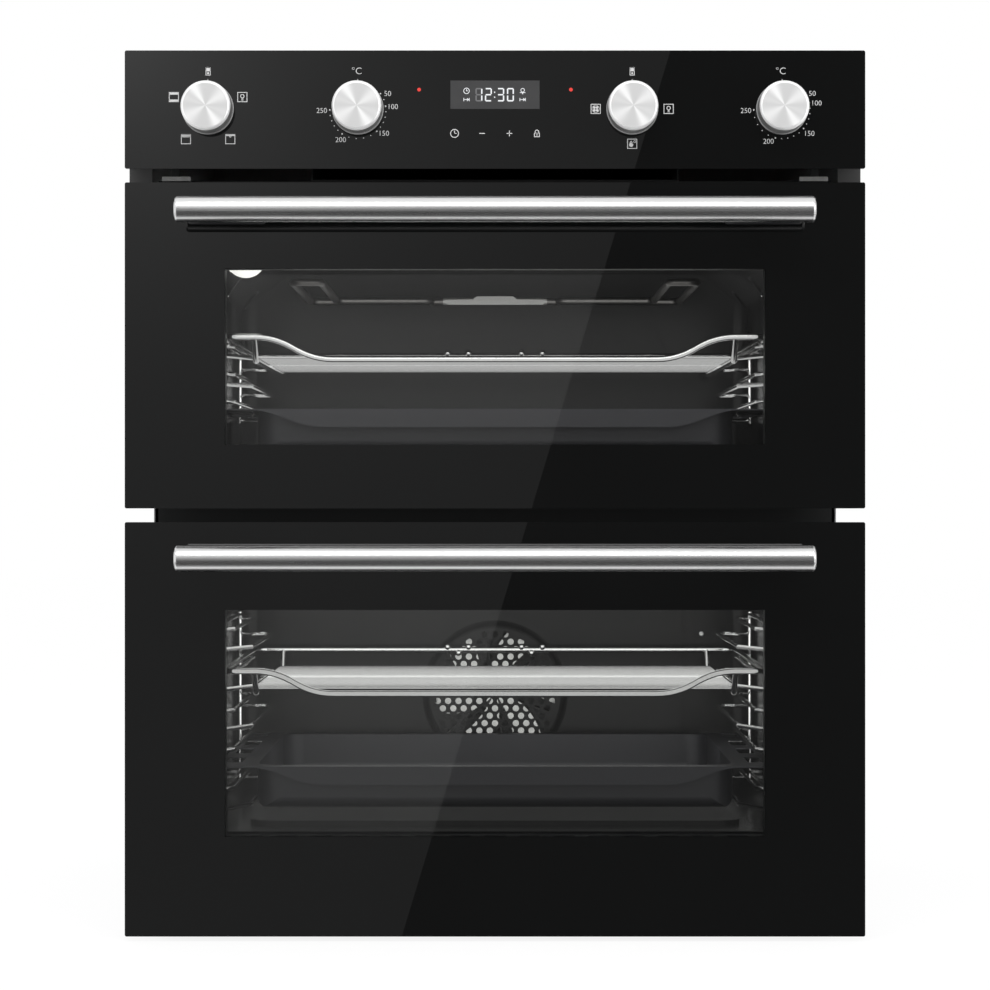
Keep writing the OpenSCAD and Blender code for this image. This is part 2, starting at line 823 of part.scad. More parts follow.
module convection_fan() {
  hub_d = 3 * shaft_d;
  color(steel) placed() translate([0, fan_y, fan_z]) {
    difference() {
      union() {
        // Back plate, blades and hub
        upright(fan_blade_w, 1.2) circle(d = fan_d, $fn = 96);
        for (i = [0:fan_blades - 1]) {
          rotate([0, i * 360 / fan_blades, 0])
            translate([hub_d / 2 - 1, 0, 0]) rotate([0, -12, 0])
              cube([(fan_d - hub_d) / 2 - 1, fan_blade_w, 1.2]);
        }
        pin_y(0, 0.6, 0, hub_d, fan_blade_w + 1.4);
      }
    }
    // Broad curved vanes that close the front of the wheel
    upright(0, vane_t) circle(r = arm_core_r, $fn = 96);
    for (i = [0:fan_vanes - 1]) {
      upright(0, vane_t) rotate(i * 360 / fan_vanes) polygon(concat(
        [for (r = vane_radii) vane_point(r, -arm_half(r))],
        [for (i = [len(vane_radii) - 1:-1:0]) vane_point(vane_radii[i], arm_half(vane_radii[i]))]
      ));
    }
    // Shaft into the motor
    pin_y(0, 2, 0, shaft_d, chamber_back + enamel_t - fan_y + 26);
  }
}

module fan_motor() {
  front = chamber_back + enamel_t;
  color(zinc) placed() difference() {
    union() {
      pin_y(0, front, fan_z, 30, 6);
      pin_y(0, front + 6, fan_z, motor_d, motor_l);
      pin_y(0, front + 6 + motor_l, fan_z, 26, 8);
      // Feet screwed to the chamber
      for (a = [0, 120, 240]) {
        translate([0, 0, fan_z]) rotate([0, a, 0])
          block([motor_d / 2 - 4, front, -7], [motor_d / 2 + 16, front + 8, 7]);
      }
    }
    pin_y(0, front - 1, fan_z, shaft_d + 2 * running_gap, 32);
    for (a = [0, 120, 240]) {
      translate([0, 0, fan_z]) rotate([0, a, 0]) pin_y(motor_d / 2 + 10, front - 1, 0, 4.5, 12);
    }
  }
}

module grill_element() {
  back = cavity_back - 35;
  rear_run = back + 15;
  half = [
    [0, rear_run, grill_z],
    [grill_outer_x, rear_run, grill_z],
    [grill_outer_x, grill_in, grill_z],
    [grill_inner_x, grill_in, grill_z],
    [grill_inner_x, back, grill_z],
    [grill_tail_x, back, grill_z],
    [grill_tail_x, cavity_back + 50, grill_z]
  ];
  color(steel) placed() {
    both_sides() wire(half, element_d, 9);
    // Clip in front of the rear run, and its strap to the rear wall
    upright(rear_run - element_d / 2 - clip_t + 0.4, clip_t) polygon([
      [clip_w / 2 - 3.5, grill_z - 3.3], [clip_w / 2, grill_z + 1.4], [21, grill_z + 1.8],
      [17, clip_top], [-17, clip_top], [-21, grill_z + 1.8],
      [-clip_w / 2, grill_z + 1.4], [-clip_w / 2 + 3.5, grill_z - 3.3]
    ]);
    block([-12, rear_run - element_d / 2 - clip_t + 0.4, clip_top - 1.2], [12, cavity_back, clip_top]);
  }
}

module oven_lamp() {
  dome_r = (pow(lamp_d / 2, 2) + pow(lamp_dome, 2)) / (2 * lamp_dome);
  color(white_plastic) placed() on_slant(lamp_y, lamp_up) {
    // Lens and its collar
    translate([0, 0, -2]) intersection() {
      translate([0, 0, dome_r - lamp_dome]) sphere(r = dome_r, $fn = 96);
      translate([0, 0, -lamp_dome]) cylinder(d = lamp_d, h = lamp_dome, $fn = smooth);
    }
    translate([0, 0, -2]) cylinder(d = lamp_d + 1, h = 2, $fn = smooth);
    // Socket in the insulation
    cylinder(d = lamp_body_d, h = blanket_t + 12, $fn = smooth);
  }
}

// --- Racks, shelves and trays ----------------------------------------------------------------

// A side rack: pairs of runs between three upright posts. Side is 1 on the right and -1 on the left.
// The last step is the height of the top pair's outer run over its inner run.
module rack(side, first_z, pitch, levels, last_step) {
  wall_x = side * cavity_w / 2;
  post_x = wall_x - side * rack_standoff;
  inner_x = side * inner_run_x;
  outer_x = side * outer_run_x;
  flare_x = post_x - side * 11;
  post_d = rack_wire_d + 1;
  low_z = first_z + run_step / 2;
  top_z = first_z + (levels - 1) * pitch + last_step + 4;
  color(steel) placed() {
    for (i = [0:levels - 1]) {
      a = first_z + i * pitch;
      b = a + (i < levels - 1 ? run_step : last_step);
      wire([[post_x, rack_back, a], [inner_x, rack_back, a], [inner_x, inner_run_in, a],
        [flare_x, rack_in, a], [post_x, rack_in, a]], rack_wire_d, 7);
      wire([[post_x, rack_back, b], [outer_x, rack_back, b], [outer_x, outer_run_in, b],
        [post_x, outer_run_in, b]], rack_wire_d, 7);
    }
    for (y = [rack_in, outer_run_in, rack_back]) {
      rod([post_x, y, first_z - post_d / 2], [post_x, y, top_z + post_d / 2], post_d);
    }
    // Long wires that tie the posts together, and the pegs into the cavity wall
    for (z = [low_z, top_z]) {
      rod([post_x, rack_in, z], [post_x, rack_back, z], rack_wire_d);
      for (y = [rack_in + 12, rack_back - 12]) {
        rod([post_x, y, z], [wall_x, y, z], rack_wire_d + 2);
      }
    }
  }
}

module upper_rack_left() {
  rack(-1, upper_run_z, upper_pitch, 3, run_step);
}

module upper_rack_right() {
  rack(1, upper_run_z, upper_pitch, 3, run_step);
}

module lower_rack_left() {
  rack(-1, lower_run_z, lower_pitch, 5, top_step);
}

module lower_rack_right() {
  rack(1, lower_run_z, lower_pitch, 5, top_step);
}

// A wire's gentle step from height z - h up to z between two points along X, bent smoothly. The rod
// between the bends is a little thinner and reaches into both.
module step_up(x, y, z, w, h, d, r) {
  turn = atan2(h, w);
  low = [x, y, z - h];
  high = [x + w, y, z];
  slope = unit(high - low);
  cut = r * tan(turn / 2) - 1.5;
  elbow(low, [1, 0, 0], slope, turn, d, r);
  elbow(high, [-1, 0, 0], -slope, turn, d, r);
  rod(low + slope * cut, high - slope * cut, d - 0.3);
}

// A wire shelf whose side rails run at height z
module shelf(z) {
  front = shelf_in + shelf_rod_d / 2;
  back = shelf_back - shelf_rod_d / 2;
  rail_x = shelf_w / 2;
  grid_x = grid_w / 2;
  grid_z = z - grid_drop;
  wire_z = grid_z + (shelf_rod_d + shelf_wire_d) / 2 - 0.6;
  count = floor((grid_back - grid_in) / shelf_wire_pitch);
  bend_reach = front_bend_r * tan(atan2(front_dip, front_rise_w) / 2);
  color(chrome) placed() {
    both_sides() {
      rod([0, front, z - front_dip], [front_flat_x - bend_reach, front, z - front_dip], shelf_rod_d);
      step_up(front_flat_x, front, z, front_rise_w, front_dip, shelf_rod_d, front_bend_r);
      wire([[front_flat_x + front_rise_w + bend_reach, front, z], [rail_x, front, z],
        [rail_x, back, z], [0, back, z]], shelf_rod_d, 11);
    }
    both_sides() wire([[grid_x, front, z], [grid_x, grid_in, grid_z], [grid_x, grid_back, grid_z],
      [grid_x, back, z]], shelf_rod_d - 0.4, 7);
    for (i = [0:count]) {
      y = grid_in + 4 + i * (grid_back - grid_in - 8) / count;
      rod([-grid_x - 2, y, wire_z], [grid_x + 2, y, wire_z], shelf_wire_d);
    }
    // Stop studs on the rear rail
    both_sides() {
      for (stud = [[24.9, 2.8], [44.6, 2.8], [34.3, -2.9]]) {
        translate([stud[0], back - 1.6, z + stud[1]]) sphere(d = 6, $fn = smooth);
      }
    }
  }
}

module upper_shelf() {
  shelf(upper_shelf_z);
}

module lower_shelf() {
  shelf(lower_shelf_z);
}

// The drooping edge of a tray's apron, from the middle to one side
function droop(x) =
  x < apron_flat_x ? apron_h
  : x > apron_flat_x + apron_rise_w ? tray_t
  : tray_t + (apron_h - tray_t) * (1 + cos(180 * (x - apron_flat_x) / apron_rise_w)) / 2;

// An enamelled tray whose flange lies at height z
module tray(z) {
  half = tray_body_w / 2;
  body_in = shelf_in + tray_front_rim;
  body_back = shelf_back - tray_back_rim;
  top = z + tray_t;
  rim = tray_w / 2;
  steps = 10;
  outline = [for (i = [0:steps]) apron_flat_x + i * apron_rise_w / steps];
  color(enamel) placed() {
    difference() {
      union() {
        flat(z, tray_t) rounded([-rim, shelf_in], [rim, shelf_back], 6);
        tray_body(half, body_in, body_back, top - tray_h, top, 0);
      }
      tray_body(half, body_in, body_back, top - tray_h, top + tray_h, tray_t);
      both_sides() {
        for (slot = tray_slots) {
          flat(z - 1, tray_t + 2) rounded([rim - 19, slot[0]], [rim - 5, slot[1]], 1.5);
        }
      }
    }
    // Apron folded down at the front edge
    upright(shelf_in, tray_t) polygon(concat(
      [for (x = outline) [x, top - droop(x)]],
      [[outline[steps], top], [-outline[steps], top]],
      [for (i = [0:steps]) [-outline[steps - i], top - droop(outline[steps - i])]]
    ));
  }
}

// A tray's pan, shrunk by a wall, with rounded corners and bottom edges
module tray_body(half, y0, y1, z0, z1, wall) {
  r = 20 - wall;
  edge = 9 - wall;
  intersection() {
    flat(z0 + wall, z1 - z0) rounded([-half + wall, y0 + wall], [half - wall, y1 - wall], r);
    upright(y0, y1 - y0) rounded([-half + wall, z0 + wall], [half - wall, z1 + 40], edge);
    along_x(-half, 2 * half) rounded([y0 + wall, z0 + wall], [y1 - wall, z1 + 40], edge);
    block([-half, y0, z0], [half, y1, z1]);
  }
}

module upper_tray() {
  tray(upper_tray_z);
}

module lower_tray() {
  tray(lower_tray_z);
}

// --- Control panel ---------------------------------------------------------------------------

module control_fascia() {
  color(glass_black) placed() difference() {
    upright(-glass_face, glass_t) rounded([-front_w / 2, panel_z], [front_w / 2, oven_h], glass_r);
    for (x = knob_places) {
      pin_y(x, -glass_face - 1, knob_z, spindle_bore, glass_t + 2);
    }
  }
}

module fascia_bracket() {
  half = carcass_w / 2 - sheet;
  color(zinc) placed() difference() {
    union() {
      upright(glass_back, sheet) translate([-half, panel_z + 2]) square([2 * half, panel_h - 8]);
      // Folds that reach back to the casing, and their lips
      block([-half, glass_back, panel_z + 2], [half, carrier_back, panel_z + 2 + sheet]);
      block([-half, glass_back, oven_h - 6 - sheet], [half, carrier_back, oven_h - 6]);
      both_sides() block([half - sheet, glass_back, panel_z + 2], [half, carrier_back, oven_h - 6]);
      // Tabs that hook over the front frame
      both_sides() block([tab_x, carrier_back - 8, panel_z - 8.5], [tab_x + 23, carrier_back, panel_z - 5]);
      both_sides() block([tab_x + 10, carrier_back - 1, panel_z - 5], [tab_x + 16, carrier_back, panel_z + 2]);
    }
    for (x = knob_places) {
      pin_y(x, glass_back - 1, knob_z, spindle_bore, sheet + 2);
    }
    for (side = [-1, 1]) {
      pin_y(side * lamp_x, glass_back - 1, lamp_z, lamp_led_d + 0.6, sheet + 2);
    }
    upright(glass_back - 1, sheet + 2)
      translate([-display_w / 2 - 1, display_z - 1]) square([display_w + 2, display_h + 2]);
    upright(glass_back - 1, sheet + 2)
      translate([-display_w / 2 - 4, touch_z - 6]) square([display_w + 8, 12]);
  }
}

module display_module() {
  board_y = glass_back + sheet;
  color(plastic) placed() {
    // Display cell and touch strip, flush with the glass, on their board
    upright(glass_back, sheet) translate([-display_w / 2, display_z]) square([display_w, display_h]);
    upright(glass_back, sheet) translate([-display_w / 2 - 3, touch_z - 5])
      square([display_w + 6, 10]);
    block([-display_w / 2 - 8, board_y, touch_z - 12],
      [display_w / 2 + 8, board_y + 14, display_z + display_h + 6]);
    block([-display_w / 2 + 6, board_y + 14, touch_z - 4], [6, board_y + 24, touch_z + 18]);
  }
}

// A rotary switch behind the bracket, with a bore for the spindle
module rotary_switch(x, w, d) {
  front = glass_back + sheet;
  difference() {
    union() {
      upright(front, d) translate([x - w / 2, knob_z - w / 2]) square([w, w]);
      upright(front + d, 6) translate([x - w / 2 + 5, knob_z - w / 2 + 5]) square([w - 10, w - 10]);
      // Tag terminals
      for (i = [-1:1], z = [-1, 1]) {
        block([x + i * 11 - 3, front + d + 6, knob_z + z * 9 - 0.5],
          [x + i * 11 + 3, front + d + 14, knob_z + z * 9 + 0.5]);
      }
    }
    pin_y(x, front - 1, knob_z, spindle_d + 2 * running_gap, spindle_in + 1.5);
  }
}

module selector_switches() {
  color(white_plastic) placed() for (x = [-outer_knob_x, inner_knob_x]) {
    rotary_switch(x, switch_w, switch_d);
  }
}

module thermostats() {
  color(zinc) placed() for (x = [-inner_knob_x, outer_knob_x]) {
    rotary_switch(x, thermostat_w, thermostat_d);
  }
}

module indicator_lamps() {
  color("red") placed() both_sides() {
    pin_y(lamp_x, glass_back, lamp_z, lamp_led_d, sheet);
    pin_y(lamp_x, glass_back + sheet, lamp_z, lamp_holder_d, lamp_holder_l);
  }
}

// A knob with its pointer at the top, drilled for the spindle
module knob(x) {
  back = -glass_face - knob_gap;
  front = -glass_face - knob_reach;
  r = knob_d / 2;
  color(chrome) placed() translate([x, 0, knob_z]) {
    difference() {
      union() {
        rotate([90, 0, 0]) rotate_extrude($fn = 96) polygon([
          [0, -back], [r, -back], [r, -back + 2], [r - 0.6, -back + 2.6],
          [r - 0.9, -front - 2], [r - 1.9, -front - 0.6], [r - 3, -front], [0, -front]
        ]);
        upright(back - 2, 2) polygon([[-1.6, r - 1], [1.6, r - 1], [0.2, r + 3], [-0.2, r + 3]]);
      }
      pin_y(0, back - 15, 0, spindle_d, 16);
    }
  }
}

module spindle(x) {
  back = -glass_face - knob_gap;
  color(zinc) placed()
    pin_y(x, back - 15, knob_z, spindle_d, 15 + knob_gap + glass_t + sheet + spindle_in);
}

module upper_function_knob() {
  knob(-outer_knob_x);
}

module upper_function_spindle() {
  spindle(-outer_knob_x);
}

module upper_temperature_knob() {
  knob(-inner_knob_x);
}

module upper_temperature_spindle() {
  spindle(-inner_knob_x);
}

module lower_function_knob() {
  knob(inner_knob_x);
}

module lower_function_spindle() {
  spindle(inner_knob_x);
}

module lower_temperature_knob() {
  knob(outer_knob_x);
}

module lower_temperature_spindle() {
  spindle(outer_knob_x);
}

// --- Cooling and wiring ----------------------------------------------------------------------

module cooling_fan_housing() {
  scroll_d = cooling_fan_d + 20;
  duct_back = cooling_y - scroll_d / 4;
  top = deck_z + scroll_h;
  color(zinc) placed() difference() {
    union() {
      block([-duct_w / 2, frame_back, duct_z], [duct_w / 2, duct_back, top]);
      translate([0, cooling_y, deck_z]) cylinder(d = scroll_d, h = scroll_h, $fn = 96);
    }
    // Hollow of the scroll and its duct to the front slot
    translate([0, cooling_y, deck_z + sheet])
      cylinder(d = scroll_d - 2 * sheet, h = scroll_h - 2 * sheet, $fn = 96);
    block([-duct_w / 2 + sheet, frame_back - 1, duct_z + sheet],
      [duct_w / 2 - sheet, duct_back - sheet, top - sheet]);
    // Intake
    translate([0, cooling_y, top - 2]) cylinder(d = 96, h = 4, $fn = smooth);
  }
}

module cooling_fan() {
  bottom = deck_z + 5;
  color(plastic) placed() translate([0, cooling_y, bottom]) {
    cylinder(d = cooling_fan_d, h = 1.5, $fn = 96);
    cylinder(d = 26, h = 24, $fn = smooth);
    cylinder(d = shaft_d, h = deck_z + scroll_h + 26 - bottom, $fn = smooth);
    for (i = [0:cooling_blades - 1]) {
      rotate(i * 360 / cooling_blades) translate([cooling_fan_d / 2 - 26, 0, 0]) rotate(28)
        cube([26, 1.2, scroll_h - 14]);
    }
    translate([0, 0, scroll_h - 14]) difference() {
      cylinder(d = cooling_fan_d, h = 1.5, $fn = 96);
      translate([0, 0, -1]) cylinder(d = cooling_fan_d - 50, h = 4, $fn = 96);
    }
  }
}

module cooling_fan_motor() {
  top = deck_z + scroll_h;
  color(zinc) placed() translate([0, cooling_y, top]) difference() {
    union() {
      // Three arms over the intake carry the motor
      for (a = [0, 120, 240]) {
        rotate(a) {
          translate([18, -6, 6]) cube([42, 12, 2]);
          translate([58, -6, 0]) cube([2, 12, 8]);
          translate([50, -6, 0]) cube([10, 12, 2]);
        }
      }
      translate([0, 0, 6]) cylinder(d = 56, h = 30, $fn = smooth);
      translate([0, 0, 36]) cylinder(d = 20, h = 5, $fn = smooth);
    }
    translate([0, 0, 5]) cylinder(d = shaft_d + 2 * running_gap, h = 24, $fn = smooth);
  }
}

module terminal_block() {
  back = carcass_d;
  color(white_plastic) placed() difference() {
    union() {
      upright(back - sheet, sheet)
        rounded([terminal_x - 38, terminal_z - 20], [terminal_x + 38, terminal_z + 20], 4);
      block([terminal_x - 34, back - 42, terminal_z - 17], [terminal_x + 34, back - sheet, terminal_z + 17]);
    }
    // Cable inlet, and the room for the wires behind it
    pin_y(terminal_x + 16, back - inlet_l, terminal_z, inlet_d, inlet_l + 1);
  }
}

// --- Hinges ----------------------------------------------------------------------------------

// One hinge arm and its carrier behind the front frame
module hinge_arm(pivot_z) {
  translate([hinge_x, 0, pivot_z]) difference() {
    union() {
      pin_x(-hinge_arm_t / 2, pivot_y, 0, 2 * hinge_boss_r, hinge_arm_t);
      block([-hinge_arm_t / 2, pivot_y, -hinge_boss_r],
        [hinge_arm_t / 2, frame_back + hinge_reach_in, hinge_boss_r]);
      difference() {
        block([-carrier_w / 2, frame_back, -carrier_h / 2],
          [carrier_w / 2, frame_back + hinge_reach_in - 8, carrier_h / 2]);
        block([-carrier_w / 2 + 1.5, frame_back + 1.5, -carrier_h / 2 - 1],
          [-hinge_arm_t / 2, frame_back + hinge_reach_in - 7, carrier_h / 2 - 1.5]);
        block([hinge_arm_t / 2, frame_back + 1.5, -carrier_h / 2 - 1],
          [carrier_w / 2 - 1.5, frame_back + hinge_reach_in - 7, carrier_h / 2 - 1.5]);
      }
    }
    pin_x(-carrier_w, pivot_y, 0, hinge_pin_d + 2 * running_gap, 2 * carrier_w);
  }
}

module hinge_arms() {
  color(zinc) placed() both_sides() {
    hinge_arm(lower_door_z + pivot_up);
    hinge_arm(upper_door_z + pivot_up);
  }
}

// --- Doors -----------------------------------------------------------------------------------

module door_glass(z, h) {
  color(glass_black) placed()
    upright(-glass_face, glass_t) rounded([-front_w / 2, z], [front_w / 2, z + h], glass_r);
}

module inner_pane(z, h) {
  color(pane_tint) placed()
    upright(door_back, pane_t) rounded([-pane_w / 2, z + pane_up], [pane_w / 2, z + h - pane_down], 6);
}

// The pressed frame between the panes: a channel open to the glass, with the window in it
module door_frame(z, h, window_z, window_h) {
  half = door_frame_w / 2;
  low = z + frame_up;
  high = z + h - frame_down;
  open_x = window_w / 2 + window_edge;
  open_low = z + window_z - window_edge;
  open_high = z + window_z + window_h + window_edge;
  color(zinc) placed() difference() {
    upright(glass_back, door_frame_d) translate([-half, low]) square([2 * half, high - low]);
    // Window
    upright(glass_back - 1, door_frame_d + 2)
      translate([-open_x, open_low]) square([2 * open_x, open_high - open_low]);
    // Hollow of the channel, which leaves a wall behind the slanting corner
    difference() {
      upright(glass_back - 1, door_frame_d - frame_wall + 1) difference() {
        translate([-half + frame_wall, low + frame_wall])
          square([2 * (half - frame_wall), high - low - 2 * frame_wall]);
        translate([-open_x - frame_wall, open_low - frame_wall])
          square([2 * (open_x + frame_wall), open_high - open_low + 2 * frame_wall]);
        // Walls beside the hinge cassettes
        both_sides() translate([cassette_x - frame_wall, z])
          square([frame_wall, cassette_h + frame_wall]);
        both_sides() translate([cassette_x - frame_wall, z + cassette_h])
          square([half - cassette_x + frame_wall, frame_wall]);
      }
      along_x(-half, 2 * half) polygon([[door_back - corner_cut - 2 * frame_wall, low],
        [door_back, low], [door_back, low + corner_cut + 2 * frame_wall]]);
    }
    // The rear lower corner slants, so that it swings clear of the cavity's seal
    along_x(-half - 1, 2 * half + 2) polygon([[door_back - corner_cut - 1, low - 1],
      [door_back + 1, low - 1], [door_back + 1, low + corner_cut + 1]]);
    // Room for the cassettes
    both_sides() block([cassette_x, glass_back - 1, z - 1], [half + 1, door_back + 1, z + cassette_h]);
    // Air slots in the lower and upper edges
    for (i = [-7:7]) {
      flat(low - 1, high - low + 2)
        rounded([i * 28 - 9, glass_back + 8], [i * 28 + 9, glass_back + 13], 2.4);
    }
  }
}

// A spring cassette beside the frame, with the pivot pin across its open lower end
module hinge_cassette(z) {
  inner = cassette_x;
  outer = door_frame_w / 2;
  pivot_z = z + pivot_up;
  slot_top = pivot_z + hinge_boss_r + 1.5;
  color(steel) placed() both_sides() {
    difference() {
      intersection() {
        block([inner, glass_back + 0.5, z + frame_up], [outer, door_back, z + cassette_h]);
        // The rear lower corner clears the front frame as the door swings
        union() {
          pin_x(inner, pivot_y, pivot_z, 2 * (sweep_r - 1.5), outer - inner);
          block([inner, glass_back, pivot_z], [outer, door_back, z + cassette_h]);
        }
      }
      block([hinge_x - hinge_slot_w / 2, glass_back - 1, z - 1],
        [hinge_x + hinge_slot_w / 2, door_back + 1, slot_top]);
    }
    pin_x(hinge_x - hinge_slot_w / 2 - 0.5, pivot_y, pivot_z, hinge_pin_d, hinge_slot_w + 1);
  }
}

// A handle with softened ends, its axis at height z
module handle(z) {
  r = handle_d / 2;
  half = handle_l / 2;
  end = [[0, 0], [r - 2.2, 0.3], [r - 0.7, 1.1], [r, 2.4]];
  color(chrome) placed() translate([0, -glass_face - handle_reach, z]) rotate([0, 90, 0]) {
    rotate_extrude($fn = 96) polygon(concat(
      [for (p = end) [p[0], p[1] - half]],
      [for (i = [3:-1:0]) [end[i][0], half - end[i][1]]]
    ));
  }
}

// The two brackets that hold a handle on the glass
module handle_brackets(z) {
  axis_y = -glass_face - handle_reach;
  color(plastic) placed() both_sides() difference() {
    union() {
      // Foot on the glass, post and saddle
      upright(-glass_face - 6, 6) rounded([bracket_x - bracket_l / 2, z - bracket_h / 2],
        [bracket_x + bracket_l / 2, z + bracket_h / 2], 3);
      upright(axis_y + 2, handle_reach - 8)
        rounded([bracket_x - bracket_l / 2 + 5, z - bracket_h / 2 + 2.5],
          [bracket_x + bracket_l / 2 - 5, z + bracket_h / 2 - 2.5], 3);
    }
    pin_x(bracket_x - bracket_l, axis_y, z, handle_d, 2 * bracket_l);
  }
}

module upper_door_glass() {
  door_glass(upper_door_z, upper_door_h);
}

module upper_inner_pane() {
  inner_pane(upper_door_z, upper_door_h);
}

module upper_door_frame() {
  door_frame(upper_door_z, upper_door_h, upper_window_up, upper_window_h);
}

module upper_handle() {
  handle(upper_handle_z);
}

module upper_handle_brackets() {
  handle_brackets(upper_handle_z);
}

module upper_hinge_cassettes() {
  hinge_cassette(upper_door_z);
}

module lower_door_glass() {
  door_glass(lower_door_z, lower_door_h);
}

module lower_middle_pane() {
  half = window_w / 2 + window_edge;
  color(pane_tint) placed() upright(middle_y, pane_t)
    translate([-half, lower_door_z + lower_window_up - window_edge])
      square([2 * half, lower_window_h + 2 * window_edge]);
}

module lower_inner_pane() {
  inner_pane(lower_door_z, lower_door_h);
}

module lower_door_frame() {
  door_frame(lower_door_z, lower_door_h, lower_window_up, lower_window_h);
}

module lower_handle() {
  handle(lower_handle_z);
}

module lower_handle_brackets() {
  handle_brackets(lower_handle_z);
}

module lower_hinge_cassettes() {
  hinge_cassette(lower_door_z);
}

// --- Assembly ------------------------------------------------------------------------------

front_frame();
side_panel_left();
side_panel_right();
top_panel();
base_panel();
back_panel();
upper_cavity();
lower_cavity();
upper_insulation();
lower_insulation();
upper_door_seal();
lower_door_seal();
fan_cover();
ring_element();
fan_motor();
convection_fan();
grill_element();
oven_lamp();
upper_rack_left();
upper_rack_right();
lower_rack_left();
lower_rack_right();
upper_shelf();
lower_shelf();
upper_tray();
lower_tray();
control_fascia();
fascia_bracket();
display_module();
selector_switches();
thermostats();
indicator_lamps();
cooling_fan_housing();
cooling_fan();
cooling_fan_motor();
terminal_block();
hinge_arms();
upper_function_knob();
upper_function_spindle();
upper_temperature_knob();
upper_temperature_spindle();
lower_function_knob();
lower_function_spindle();
lower_temperature_knob();
lower_temperature_spindle();
upper_door_glass();
upper_inner_pane();
upper_door_frame();
upper_handle();
upper_handle_brackets();
upper_hinge_cassettes();
lower_door_glass();
lower_middle_pane();
lower_inner_pane();
lower_door_frame();
lower_handle();
lower_handle_brackets();
lower_hinge_cassettes();
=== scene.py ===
"""Built-under double oven: finishes, printed marks, fasteners and a studio round the frame."""
import logging
import math
from collections.abc import Callable
from dataclasses import dataclass, field
from enum import Enum
from functools import cached_property
from typing import TypeAlias

import bpy
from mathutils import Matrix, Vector


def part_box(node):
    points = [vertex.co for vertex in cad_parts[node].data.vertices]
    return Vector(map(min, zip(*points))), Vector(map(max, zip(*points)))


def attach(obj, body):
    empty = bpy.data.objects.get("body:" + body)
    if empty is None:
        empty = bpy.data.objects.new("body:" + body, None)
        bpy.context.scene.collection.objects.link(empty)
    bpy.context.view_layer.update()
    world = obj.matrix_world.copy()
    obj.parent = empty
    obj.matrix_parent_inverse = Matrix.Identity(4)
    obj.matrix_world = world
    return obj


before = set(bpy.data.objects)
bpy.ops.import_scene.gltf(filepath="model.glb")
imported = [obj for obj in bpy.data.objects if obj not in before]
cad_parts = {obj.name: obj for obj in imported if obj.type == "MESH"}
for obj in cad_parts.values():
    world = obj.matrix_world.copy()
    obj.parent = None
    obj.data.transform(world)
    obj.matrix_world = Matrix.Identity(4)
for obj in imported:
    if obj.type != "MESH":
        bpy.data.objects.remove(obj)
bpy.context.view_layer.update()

LOG = logging.getLogger("oven")
MM = 0.001
KNOBS = ("upper_function", "upper_temperature", "lower_function", "lower_temperature")
WHITE = (1.0, 1.0, 1.0, 1.0)
BACKWARDS, UPWARDS, DOWNWARDS = (0.0, 1.0, 0.0), (0.0, 0.0, 1.0), (0.0, 0.0, -1.0)
Point: TypeAlias = tuple[float, float, float]
Colour: TypeAlias = tuple[float, float, float]
Operator: TypeAlias = Callable[..., set[str]]
Term: TypeAlias = "Value | float"


def middle(box: tuple[Vector, Vector]) -> Vector:
    """The middle of a node's box."""
    return (box[0] + box[1]) / 2


# Shader bench -------------------------------------------------------------------------------

class Value:
    """A shader socket that can be written with in Python expressions."""

    def __init__(self, bench: "ShaderBench", socket: bpy.types.NodeSocket) -> None:
        """Keeps the socket and the bench that its nodes stand on."""
        self.bench = bench
        self.socket = socket

    def math(self, operation: str, *others: Term) -> "Value":
        """Puts this value through a Math node.

        Args:
            operation: the Math node's operation.
            others: its second and third inputs, where it has them.

        Returns:
            The node's result.
        """
        inputs = dict(enumerate((self, *others)))
        return self.bench.node("ShaderNodeMath", {"operation": operation}, inputs)

    def __add__(self, other: Term) -> "Value":
        """self + other."""
        return self.math("ADD", other)

    __radd__ = __add__

    def __sub__(self, other: Term) -> "Value":
        """self - other."""
        return self.math("SUBTRACT", other)

    def __rsub__(self, other: float) -> "Value":
        """other - self."""
        return self.math("MULTIPLY_ADD", -1.0, other)

    def __mul__(self, other: Term) -> "Value":
        """self * other."""
        return self.math("MULTIPLY", other)

    __rmul__ = __mul__

    def __pow__(self, other: Term) -> "Value":
        """self ** other."""
        return self.math("POWER", other)

    def __lt__(self, other: Term) -> "Value":
        """1 where self is less than other."""
        return self.math("LESS_THAN", other)

    def __gt__(self, other: Term) -> "Value":
        """1 where self is more than other."""
        return self.math("GREATER_THAN", other)

    def __abs__(self) -> "Value":
        """The value without its sign."""
        return self.math("ABSOLUTE")

    def clamp(self) -> "Value":
        """The value held between 0 and 1."""
        return self.math("MAXIMUM", 0.0).math("MINIMUM", 1.0)

    def waves(self, length: float) -> "Value":
        """Even waves between 0 and 1, each of a length."""
        return (self * (2 * math.pi / length)).math("SINE") * 0.5 + 0.5

    def ramp(self, start: float, end: float) -> "Value":
        """0 at start, 1 at end and a soft step between."""
        settings = {"interpolation_type": "SMOOTHSTEP"}
        return self.bench.node("ShaderNodeMapRange", settings, {0: self, 1: start, 2: end})


